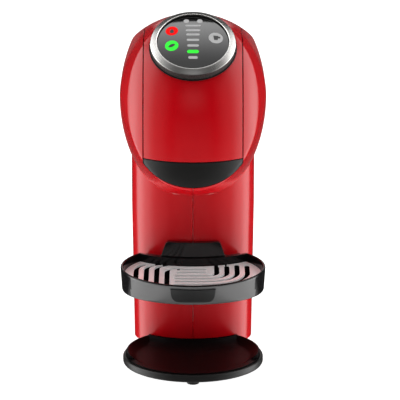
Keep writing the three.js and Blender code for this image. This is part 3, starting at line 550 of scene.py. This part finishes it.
def tray_bracket():
    """Sleeve round the column's front with sloping shoulders, and the magnet's pocket behind."""
    sleeve = cut(column(5.3, 62, 150), column(0.9, 40, 160))
    half = [(37, 62), (37, 79), (27, 79.4), (25, 80.2), (21.4, 90.6), (20.2, 91.7), (18.8, 92)]
    outline = half + [(-x, z) for x, z in reversed(half)]
    magnet_pocket = box(-8.3, 8.3, 23.6, 30, 65.7, 82.3)
    return cut(common(sleeve, prism(outline, -10, 45, "y")), magnet_pocket)


def badge_outline(grow):
    """Badge in its front view: straight above, rounded below, grown outwards and down."""
    half = [(0, 63.6), (11.2, 63.6), (12.8, 63.9), (14.2, 64.8), (15.4, 66.4), (16.2, 68.4), (16.8, 72),
            (17, 76.4)]
    half = [(x + grow * (x > 0), z - grow * (z < 66)) for x, z in half]
    return half + [(-x, z) for x, z in reversed(half[1:])]


def tray_badge(outline, out, back):
    """Plate lying on the leaning front wall, between two distances outside it."""
    levels = [62.5, 65, 68, 71, 74, 77]
    face = loft([tray_ring(z, -out) for z in levels])
    behind = loft([tray_ring(z, -back) for z in (61.5, *levels, 79)])
    return common(cut(face, behind), prism(outline, -70, 0, "y"))


# ---- base ----------------------------------------------------------------------------------------
def base_plan(radius, inset):
    """A round front and straight sides to a rounded back, moved inwards by inset."""
    half = BASE["half_width"] - inset
    meet = math.asin(half / radius)
    corner = 14
    back = REAR_Y - 1 - inset
    outline = arc(0, 0, radius, radius, math.pi / 2 + meet, 2.5 * math.pi - meet, 140)
    outline += arc(half - corner, back - corner, corner, corner, 0, math.pi / 2, 24)
    return outline + arc(corner - half, back - corner, corner, corner, math.pi / 2, math.pi, 24)


def stacked(levels, plan):
    """Upright body through (z, inset) levels of a plan outline."""
    return loft([[(x, y, z) for x, y in plan(inset)] for z, inset in levels])


def gland_notch():
    return box(GLAND["x"] - 6, GLAND["x"] + 6, 216, 240, 4.6, 12.5)


def base_pan():
    """Lower tub of the base, with a rounded bottom edge and lip and a pocket for the plate."""
    low, lip = BASE["bottom"], BASE["lip_z"]
    levels = [(low, 1.2), (low + 0.35, 0.5), (low + 1.0, 0.08), (low + 1.6, 0),
              (lip - 1.4, 0), (lip - 0.7, 0.15), (lip - 0.2, 0.5), (lip, 1.0)]
    outer = stacked(levels, lambda inset: base_plan(BASE["radius"] - inset, inset))
    pocket = prism(base_plan(BASE["plate_radius"] + GAP, BASE["lip"] - GAP), low + 1.8, 20)
    return cut(outer, pocket, gland_notch())


def base_plate():
    """Upper plate: a round dish in front that rises to a platform round the column's foot."""
    low, top, floor = BASE["bottom"] + 2.1, BASE["top_z"], BASE["floor_z"]
    body = stacked([(low, 0), (top - 0.7, 0), (top - 0.2, 0.2), (top, 0.7)],
                   lambda inset: base_plan(BASE["plate_radius"] - inset, BASE["lip"] + inset))
    rim, foot_of_wall, steps = BASE["plate_radius"] - 1.4, 44, 8
    wall = [(mix(foot_of_wall, rim, k / steps), floor + (top - floor) * (k / steps) ** 1.25)
            for k in range(steps + 1)]
    dish = turned([(0, floor), (30, floor), (42, floor + 0.02), *wall, (rim + 1, 20), (0, 20)], sides=SIDES)
    slope = ((18, 0), (12, floor), (5, floor + 1.7), (1.5, top), (1.5, 30))
    platform = loft([column_ring(COLUMN["foot_half_width"], grow, z) for grow, z in slope])
    low_front = prism([(-60, -8), (-44, -18), (44, -18), (60, -8), (60, -60), (-60, -60)], 9.6, 20)
    return cut(body, cut(dish, platform), low_front, gland_notch())


def foot(x, y):
    lift = BASE["bottom"] - GAP
    return turned([(0, 0), (3.9, 0), (4.5, 0.25), (4.8, 0.8), (4.8, lift - 0.3), (4.5, lift), (2.7, lift),
                   (2.7, lift + 1), (0, lift + 1)], x, y, 48)


def screw(radius, depth, place, turn):
    """Round head with a cross recess, standing on its seat at height 0 and facing up before its turn."""
    dome = arc(0, 0, radius, depth, 0, math.pi / 2, 8)
    dome[-1] = (0, depth)
    piece = revolve([(0, -6), (radius * 0.5, -6), (radius * 0.5, 0), *dome], 48)
    arm, half = radius * 0.55, radius * 0.13
    recess = (depth * 0.35, depth + 1)
    piece = cut(piece, join(box(-arm, arm, -half, half, *recess), box(-half, half, -arm, arm, *recess)))
    piece.data.transform(Matrix.Translation(place) @ turn)
    return piece


def cord_gland():
    """Block in the base's back with a grooved nose round the cord's hole."""
    x, y, z = GLAND["x"], GLAND["y"], GLAND["z"]
    nose = revolve([(2, 0), (3.4, 0), (3.4, 1.2), (2.7, 1.6), (2.7, 2.2), (3.2, 2.5), (3.2, 3.2), (2.6, 3.6),
                    (2.6, 4.4), (2, 4.5), (2, 0)], 48)
    nose.data.transform(Matrix.Translation((x, y, z)) @ Matrix.Rotation(-math.pi / 2, 4, "X"))
    block = cut(box(x - 5.6, x + 5.6, 217, 228, 4.9, 11.7), rod(2, (x, 222, z), (x, REAR_Y, z)))
    return join(block, nose)


# ---- water tank ----------------------------------------------------------------------------------
def tank_plan(inset):
    half = TANK["half_width"] - inset
    front = TANK["front_y"] + inset
    corner = 8 - inset
    outline = arc(corner - half, front + corner, corner, corner, math.pi, 1.5 * math.pi, 12)
    outline += arc(half - corner, front + corner, corner, corner, 1.5 * math.pi, 2 * math.pi, 12)
    return outline + arc(0, REAR_Y - TANK["bow"], half, TANK["bow"] - inset, 0, math.pi, 96)


def water_tank():
    """Thin-walled tank with a rounded inner floor, a hollow foot and the valve's hole."""
    low, top, floor, wall = TANK["bottom"], TANK["top"], TANK["floor"], TANK["wall"]
    outer = stacked([(low, 0.5), (low + 0.5, 0), (top - 0.5, 0), (top, 0.4)], tank_plan)
    inside = stacked([(floor + 3, 5), (floor + 3.8, 3.4), (floor + 6, wall), (top + 5, wall)], tank_plan)
    under = prism(tank_plan(wall + 0.6), 0, floor)
    valve_hole = rod(6.3, (0, 172, 10), (0, 172, 30))
    return cut(outer, inside, under, box(-6, 6, 140, 156, 0, floor), valve_hole)


def tank_lid():
    low, high = TANK["top"] + GAP, TANK["top"] + TANK["lid"]
    levels = [(low, 0.3), (low + 0.3, 0), (high - 1.6, 0), (high - 0.8, 0.25), (high - 0.25, 0.9), (high, 2)]
    grip = rod(9, (0, TANK["front_y"] + 22, high + 6.4), (0, TANK["front_y"] + 46, high + 6.4))
    return cut(stacked(levels, tank_plan), grip)


def power_button():
    """Round cap whose face is slightly dished inside a rounded lip."""
    radius = BUTTON["radius"]
    face = [(6.4, 5.2), (6.0, 5.05), (4.5, 4.75), (3, 4.6), (1.5, 4.52), (0, 4.5)]
    piece = revolve([(0, 0), (radius, 0), (radius, 4.6), (radius - 0.2, 5.05), *face], 64)
    place = Matrix.Translation((BUTTON["x"], BUTTON["y"], BUTTON["z"]))
    piece.data.transform(place @ Matrix.Rotation(math.pi / 2, 4, "Y"))
    return piece


# ---- materials -----------------------------------------------------------------------------------
CLOUD_SCALE = 18
GRAIN_DEPTH = 0.00005


def plastic(name, color, roughness, vary=0.05, grain=1400, bump=0.1, ior=1.5, metallic=0.0, edge=0.4,
            tint=0.1, **extra):
    """Moulded or metal surface: drifting colour and roughness, a fine surface grain and softened edges."""
    made = bpy.data.materials.new(name)
    made.use_nodes = True
    nodes, links = made.node_tree.nodes, made.node_tree.links
    shader = nodes["Principled BSDF"]
    shader.inputs["Metallic"].default_value = metallic
    shader.inputs["IOR"].default_value = ior
    for socket, value in extra.items():
        shader.inputs[socket.replace("_", " ")].default_value = value
    place = nodes.new("ShaderNodeTexCoord")
    clouds = nodes.new("ShaderNodeTexNoise")
    clouds.inputs["Scale"].default_value = CLOUD_SCALE
    clouds.inputs["Detail"].default_value = 6
    links.new(place.outputs["Object"], clouds.inputs["Vector"])
    ramp = nodes.new("ShaderNodeMapRange")
    ramp.inputs["To Min"].default_value = roughness - vary
    ramp.inputs["To Max"].default_value = roughness + vary
    links.new(clouds.outputs["Fac"], ramp.inputs["Value"])
    links.new(ramp.outputs["Result"], shader.inputs["Roughness"])
    shades = nodes.new("ShaderNodeMix")
    shades.data_type = "RGBA"
    shades.inputs["A"].default_value = (*[c * (1 - tint) for c in color], 1)
    shades.inputs["B"].default_value = (*[min(1, c * (1 + tint)) for c in color], 1)
    links.new(clouds.outputs["Fac"], shades.inputs["Factor"])
    links.new(shades.outputs["Result"], shader.inputs["Base Color"])
    grains = nodes.new("ShaderNodeTexNoise")
    grains.inputs["Scale"].default_value = grain
    grains.inputs["Detail"].default_value = 2
    links.new(place.outputs["Object"], grains.inputs["Vector"])
    relief = nodes.new("ShaderNodeBump")
    relief.inputs["Strength"].default_value = bump
    relief.inputs["Distance"].default_value = GRAIN_DEPTH
    links.new(grains.outputs["Fac"], relief.inputs["Height"])
    if edge:
        soft = nodes.new("ShaderNodeBevel")
        soft.samples = 4
        soft.inputs["Radius"].default_value = edge * MM
        links.new(soft.outputs["Normal"], relief.inputs["Normal"])
    links.new(relief.outputs["Normal"], shader.inputs["Normal"])
    return made


def lit_mark(name, color, strength):
    """Printed mark that glows a little."""
    made = plastic(name, color, 0.4, edge=0, Specular_IOR_Level=0.06)
    shader = made.node_tree.nodes["Principled BSDF"]
    shader.inputs["Emission Color"].default_value = (*color, 1)
    shader.inputs["Emission Strength"].default_value = strength
    return made


SLOT_LOOKS = {
    "red_plastic": dict(color=(0.575, 0.0012, 0.006), roughness=0.19, vary=0.02, bump=0.012),
    "black_gloss": dict(color=(0.006, 0.0055, 0.006), roughness=0.14, vary=0.03, bump=0.03),
    "black_satin": dict(color=(0.012, 0.0115, 0.011), roughness=0.38, vary=0.05, bump=0.25),
    "chrome": dict(color=(0.92, 0.9, 0.87), roughness=0.27, metallic=1, vary=0.03, bump=0.06, edge=0.15),
    "steel": dict(color=(0.86, 0.84, 0.83), roughness=0.28, metallic=0.6, vary=0.04, bump=0.08, edge=0.25),
    "smoked_clear": dict(color=(0.34, 0.35, 0.37), roughness=0.06, vary=0.02, bump=0.02, edge=0,
                         Transmission_Weight=1.0),
    "rubber": dict(color=(0.015, 0.015, 0.015), roughness=0.75, bump=0.4),
    "silicone": dict(color=(0.6, 0.57, 0.53), roughness=0.45, bump=0.2),
    "aluminium": dict(color=(0.6, 0.6, 0.62), roughness=0.42, metallic=1, bump=0.5, grain=500),
    "circuit_board": dict(color=(0.02, 0.12, 0.05), roughness=0.4, bump=0.2),
    "coil_wrap": dict(color=(0.04, 0.05, 0.065), roughness=0.5, bump=0.5, grain=300),
    "magnet": dict(color=(0.2, 0.2, 0.21), roughness=0.4, metallic=0.7),
}
LOOKS = {slot: plastic(slot, **settings) for slot, settings in SLOT_LOOKS.items()}
# The grid's steel glows a little: painted light that lifts its bars to the pale sheen of their reflections.
GRID_LOOK_PAINTED_SHEEN = plastic("grid_steel_painted_sheen", (0.97, 0.95, 0.95), 0.3, metallic=0.35, vary=0.04, bump=0.08, edge=0.25,
                    Emission_Color=(1, 1, 1, 1), Emission_Strength=0.12)
GRIP_LOOK = plastic("ring_grip", (0.055, 0.052, 0.05), 0.5, metallic=0.4, bump=0.2, edge=0)
# Satin grey for the tray's front band: a painted reflection, standing for a light mirrored in the glossy
# black wall.
TRAY_PAINTED_REFLECTION = plastic("tray_painted_reflection", (0.09, 0.09, 0.09), 0.28, vary=0.03, bump=0.06, tint=0.05,
                    Specular_IOR_Level=0.8)
TRAY_BLACK = plastic("tray_black", (0.006, 0.0055, 0.006), 0.16, vary=0.03, bump=0.03,
                     Specular_IOR_Level=0.22)
DISH_LOOK = plastic("dish_black", (0.005, 0.0038, 0.004), 0.34, vary=0.04, bump=0.08,
                    Specular_IOR_Level=0.04)
DISPLAY_LOOK = plastic("display_gloss", (0.004, 0.004, 0.004), 0.06, vary=0.01, bump=0.0, ior=1.75, edge=0)
BADGE_LOOK = plastic("badge_satin", (0.017, 0.017, 0.017), 0.4, bump=0.2)
MARK_GREY = lit_mark("mark_grey", (0.4, 0.4, 0.4), 0.45)
MARK_RED = lit_mark("mark_red", (0.9, 0.001, 0.001), 0.5)
MARK_GREEN = lit_mark("mark_green", (0.04, 0.85, 0.05), 0.55)
MARK_DARK = plastic("mark_dark", (0.03, 0.03, 0.03), 0.4, edge=0)


# ---- putting the pieces in place -----------------------------------------------------------------
SHARP_FROM = math.radians(32)


def smooth(piece):
    """Smooth shading but for the edges that are sharper than SHARP_FROM."""
    piece.data.shade_smooth()
    piece.data.set_sharp_from_angle(angle=SHARP_FROM)


def settle(piece, name, body, look):
    """Turns a finished shape into a piece of the scene: in metres, in the frame, riding on its body."""
    made = bmesh.new()
    made.from_mesh(piece.data)
    bmesh.ops.remove_doubles(made, verts=made.verts, dist=0.004)
    bmesh.ops.dissolve_degenerate(made, edges=made.edges, dist=0.002)
    made.to_mesh(piece.data)
    made.free()
    piece.data.transform(TO_FRAME)
    smooth(piece)
    piece.name = name
    piece.data.name = name
    piece.data.materials.clear()
    piece.data.materials.append(look)
    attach(piece, body)
    return piece


def deliver(piece, node, look=None):
    """The finished shape stands for its CAD node."""
    slot = SLOT_OF[node]
    settle(piece, node + "_fine", BODY_OF[node], look or LOOKS[slot])
    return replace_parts(piece, node)


def second_look(piece, look, chosen):
    """Gives the faces that chosen() picks another material."""
    piece.data.materials.append(look)
    for face in piece.data.polygons:
        if chosen(face):
            face.material_index = 1


RING_AXIS = Vector((0, -math.sin(PANEL["tilt"]), math.cos(PANEL["tilt"])))


def on_ring_side(face):
    return abs(face.normal.dot(RING_AXIS)) < 0.3


def on_painted_reflection_band(face):
    """Outer faces of the tray's front wall, within the width and height of the grey band that paints a
    light's reflection on the glossy black wall.
    """
    middle = face.center - Vector((0, CUP_AXIS_Y, 0))
    outward = face.normal.x * middle.x + face.normal.y * middle.y > 0 and face.normal.z < 0.2
    low, high = (TRAY["bottom"] + 0.6) * MM, (TRAY["top"] - TRAY["rim"]) * MM
    return outward and low < middle.z < high and middle.y < 0 and abs(middle.x) < TRAY["reflection_band_half"] * MM


# The head, the lever and the panel.
deliver(mirrored(casing()), "casing_left")
deliver(right_casing(), "casing_right")
deliver(rear_cover(), "rear_cover")
deliver(lever_cover(), "lever_cover")
deliver(lever_liner(), "lever_liner")
second_look(deliver(selector_ring(), "selector_ring"), GRIP_LOOK, on_ring_side)
# A black annulus paints the shadow line round the ring's base.
settle(ring_painted_shadow(), "ring_painted_shadow", "lever", LOOKS["rubber"])
deliver(display_glass(), "display_glass", DISPLAY_LOOK)
deliver(pod_holder(), "pod_holder")

# The drip tray.
# The tray is glossy black, with the painted reflection's grey on the band of its front wall.
second_look(deliver(drip_tray(), "drip_tray", TRAY_BLACK), TRAY_PAINTED_REFLECTION, on_painted_reflection_band)
# The grid carries the steel with its painted sheen.
deliver(drip_grid(), "drip_grid", GRID_LOOK_PAINTED_SHEEN)
deliver(tray_bracket(), "tray_bracket")
deliver(tray_badge(badge_outline(0), 1.1, 0.3), "tray_badge", BADGE_LOOK)
# The badge's frame is in the same grey of the painted reflection.
settle(tray_badge(badge_outline(0.5), 0.5, 0.02), "badge_frame", "tray", TRAY_PAINTED_REFLECTION)

# The base, the screws, the tank and the button.
deliver(base_pan(), "base_pan")
deliver(base_plate(), "base_plate", DISH_LOOK)
for name, (x, y) in FEET.items():
    deliver(foot(x, y), f"foot_{name}")
for number, (x, y) in enumerate(BASE_SCREWS, 1):
    deliver(screw(3, 1.4, (x, y, 2.6), Matrix.Rotation(math.pi, 4, "X")), f"base_screw_{number}")
for name, (x, z) in REAR_SCREWS.items():
    seat = (x, HEAD["rear_y"] - REAR_SCREW_SINK, z)
    deliver(screw(3.3, 1.6, seat, Matrix.Rotation(-math.pi / 2, 4, "X")), f"rear_screw_{name}")
deliver(cord_gland(), "cord_gland")
deliver(water_tank(), "water_tank")
deliver(tank_lid(), "tank_lid")
deliver(power_button(), "power_button")

# The nodes inside keep their CAD shape and only get their looks.
for node, piece in frame["nodes"].items():
    piece.data.materials.clear()
    piece.data.materials.append(LOOKS[SLOT_OF[node]])
    smooth(piece)


def mark(name, outline, look, low=-0.05, high=0.08):
    """Printed mark on the display, carried by the lever."""
    settle(decal(outline, low, high), name, "lever", look)


# Marks on the display: seven bars, (up, width, height) each, and generic symbols beside and above them.
BARS = ((15.6, 11.7, 1.7), (10.5, 11.0, 1.9), (6.0, 10.3, 2.0), (0.5, 9.5, 2.1), (-5.1, 8.7, 2.2),
        (-10.9, 8.8, 3.0), (-16.4, 7.1, 2.4))
LIT_BAR = 6
for number, (up, width, height) in enumerate(BARS, 1):
    look = MARK_GREEN if number == LIT_BAR else MARK_GREY
    mark(f"display_bar_{number}", bar_outline(0, up, width, height), look)
ROUND_MARKS = (("mark_hot", -15.9, 10.5, 4.7, MARK_RED), ("mark_eco", -15.9, -4.6, 5.0, MARK_GREEN),
               ("mark_size", 17.1, 3.2, 5.4, MARK_GREY), ("mark_small_left", -5.0, 20.7, 2.1, MARK_GREY),
               ("mark_small_right", 5.1, 20.7, 2.1, MARK_GREY))
for name, right, up, radius, look in ROUND_MARKS:
    mark(name, disc_outline(right, up, radius), look)
DROP = [(-15.9 + 1.5 * math.sin(a) * (1 - 0.45 * math.cos(a)), 10.2 + 2.2 * math.cos(a)) for a in angles(32)]
LEAF = [(-15.9 + 2.5 * math.cos(a), -4.6 + 1.5 * math.sin(a) + 0.9 * math.cos(a)) for a in angles(32)]
CUP = [(15.2, 5.4), (15.8, 1.1), (18.4, 1.1), (18.7, 2.8), (20.4, 3.0), (20.4, 4.6), (19.0, 4.6), (19.1, 5.4)]
for name, outline in (("symbol_drop", DROP), ("symbol_leaf", LEAF), ("symbol_cup", CUP)):
    mark(name, outline, MARK_DARK, 0.05, 0.14)


# ---- camera, floor and light ---------------------------------------------------------------------
TARGET = Vector((0, CUP_AXIS_Y, 0.1322))
ELEVATION = math.radians(14.5)
DISTANCE = 1.9
camera_data = bpy.data.cameras.new("camera")
camera_data.sensor_width = 36
camera_data.lens = 223
camera_data.shift_x = 0.0175
camera_data.clip_end = 30
camera = bpy.data.objects.new("camera", camera_data)
bpy.context.scene.collection.objects.link(camera)
camera.location = TARGET + DISTANCE * Vector((0, -math.cos(ELEVATION), math.sin(ELEVATION)))
camera.rotation_euler = (math.pi / 2 - ELEVATION, 0, 0)
bpy.context.scene.camera = camera


def stage_sheet(name, points, columns):
    """Grid of quads through rows of points, with a UV map that runs 0 to 1 along and across it."""
    rows = len(points) // columns
    mesh = bpy.data.meshes.new(name)
    faces = [(r * columns + c, r * columns + c + 1, (r + 1) * columns + c + 1, (r + 1) * columns + c)
             for r in range(rows - 1) for c in range(columns - 1)]
    mesh.from_pydata(points, [], faces)
    uv = mesh.uv_layers.new(name="UVMap")
    for loop in mesh.loops:
        uv.data[loop.index].uv = (loop.vertex_index % columns / (columns - 1),
                                  loop.vertex_index // columns / (rows - 1))
    sheet = bpy.data.objects.new(name, mesh)
    bpy.context.scene.collection.objects.link(sheet)
    return sheet


def glow(name, strength, along, across):
    """Emission whose strength follows a ramp along the sheet and one across it; ramps list (place, value)."""
    made = bpy.data.materials.new(name)
    made.use_nodes = True
    nodes, links = made.node_tree.nodes, made.node_tree.links
    nodes.remove(nodes["Principled BSDF"])
    place = nodes.new("ShaderNodeTexCoord")
    split = nodes.new("ShaderNodeSeparateXYZ")
    links.new(place.outputs["UV"], split.inputs["Vector"])
    factors = []
    for axis, stops in (("X", along), ("Y", across)):
        ramp = nodes.new("ShaderNodeValToRGB")
        ramp.color_ramp.interpolation = "EASE"
        while len(ramp.color_ramp.elements) < len(stops):
            ramp.color_ramp.elements.new(0.5)
        for element, (position, value) in zip(ramp.color_ramp.elements, stops):
            element.position = position
            element.color = (value, value, value, 1)
        links.new(split.outputs[axis], ramp.inputs["Fac"])
        factors.append(ramp)
    product = nodes.new("ShaderNodeMath")
    product.operation = "MULTIPLY"
    links.new(factors[0].outputs["Color"], product.inputs[0])
    links.new(factors[1].outputs["Color"], product.inputs[1])
    scale = nodes.new("ShaderNodeMath")
    scale.operation = "MULTIPLY"
    scale.inputs[1].default_value = strength
    links.new(product.outputs["Value"], scale.inputs[0])
    light = nodes.new("ShaderNodeEmission")
    links.new(scale.outputs["Value"], light.inputs["Strength"])
    links.new(light.outputs["Emission"], nodes["Material Output"].inputs["Surface"])
    return made


def arc_card(name, radius, start, end, low, high, look):
    """Upright curved light round the cup's axis; angles in degrees start at the camera's side, towards +X."""
    columns = 33
    turn = [math.radians(start + (end - start) * k / (columns - 1)) for k in range(columns)]
    points = [(radius * math.sin(a), CUP_AXIS_Y - radius * math.cos(a), z) for z in (low, high) for a in turn]
    card = stage_sheet(name, points, columns)
    card.data.materials.append(look)
    card.visible_camera = False
    return card


def flat_card(name, x, y, z, look):
    """Flat light, as wide as the pair x, from the first to the second of y (from the cup's axis) and z."""
    y0, y1 = CUP_AXIS_Y + y[0], CUP_AXIS_Y + y[1]
    corners = [(x[0], y0, z[0]), (x[1], y0, z[0]), (x[0], y1, z[1]), (x[1], y1, z[1])]
    card = stage_sheet(name, corners, 2)
    card.data.materials.append(look)
    card.visible_camera = False
    return card


EVEN = ((0.0, 1.0), (1.0, 1.0))
FADING = ((0.0, 0.0), (0.5, 1.0), (1.0, 0.0))
TURNS = (("right", 1), ("left", -1))
SIDE_ALONG = ((0.0, 0.0), (0.3, 0.12), (0.6, 0.6), (0.8, 1.0), (0.95, 0.8), (1.0, 0.0))
side_glow = glow("side_glow", 3.1, SIDE_ALONG, EVEN)
for side, turn in TURNS:
    arc_card(f"light_{side}", 1.2, 30 * turn, 122 * turn, -0.7, 2.0, side_glow)
top_glow = glow("top_glow", 3.0, ((0.0, 0.4), (0.5, 1.0), (1.0, 0.4)), ((0.0, 0.0), (0.5, 0.25), (1.0, 1.0)))
flat_card("light_top", (-0.9, 0.9), (-0.8, 0.345), (1.2, 1.2), top_glow)
shoulder_glow = glow("shoulder_glow", 2.6, ((0.0, 0.0), (0.5, 1.0), (1.0, 1.0)),
                     ((0.0, 0.6), (0.8, 1.0), (1.0, 0.0)))
low_glow = glow("low_glow", 1.3, ((0.0, 0.2), (0.3, 0.7), (0.7, 1.0)), ((0.0, 1.0), (0.7, 1.0), (1.0, 0.0)))
for side, turn in TURNS:
    flat_card(f"light_shoulder_{side}", (0.5 * turn, 1.7 * turn), (0.1, 1.0), (1.2, 1.2), shoulder_glow)
    flat_card(f"light_low_{side}", (0, 1.2 * turn), (-0.3, 0.75), (-0.5, -0.5), low_glow)
flat_card("light_front", (-1.0, 1.0), (-1.6, -1.6), (0.7, 1.9), glow("front_glow", 0.4, FADING, FADING))
flat_card("light_back", (-0.5, 0.5), (2.2, 2.2), (0.45, 0.9), glow("back_glow", 0.9, EVEN, EVEN))
flat_card("light_rim", (-0.6, 0.6), (2.2, 2.2), (-0.9, 0.2), glow("rim_glow", 0.13, EVEN, EVEN))
fill = flat_card("light_fill", (-1.0, 1.0), (-1.7, -1.7), (0.0, 0.45), glow("fill_glow", 0.8, EVEN, EVEN))
fill.visible_glossy = False

floor = stage_sheet("floor", [(-4, -4, 0), (4, -4, 0), (-4, 4, 0), (4, 4, 0)], 2)
floor_look = plastic("floor_pale", (0.7, 0.7, 0.7), 0.6, edge=0, tint=0.005, Emission_Strength=1.0)
floor_look.node_tree.nodes["Principled BSDF"].inputs["Emission Color"].default_value = (1, 1, 1, 1)
floor.data.materials.append(floor_look)
floor.visible_glossy = False

world = bpy.data.worlds.new("world")
bpy.context.scene.world = world
world.use_nodes = True
sky = world.node_tree.nodes
background = sky["Background"]
path = sky.new("ShaderNodeLightPath")
shade = sky.new("ShaderNodeMapRange")  # pale all round, but nearly dark in reflections
shade.inputs["To Min"].default_value = 0.55
shade.inputs["To Max"].default_value = 0.03
world.node_tree.links.new(path.outputs["Is Glossy Ray"], shade.inputs["Value"])
world.node_tree.links.new(shade.outputs["Result"], background.inputs["Strength"])
background.inputs["Color"].default_value = (1, 1, 1, 1)
bpy.context.scene.view_settings.view_transform = "Standard"
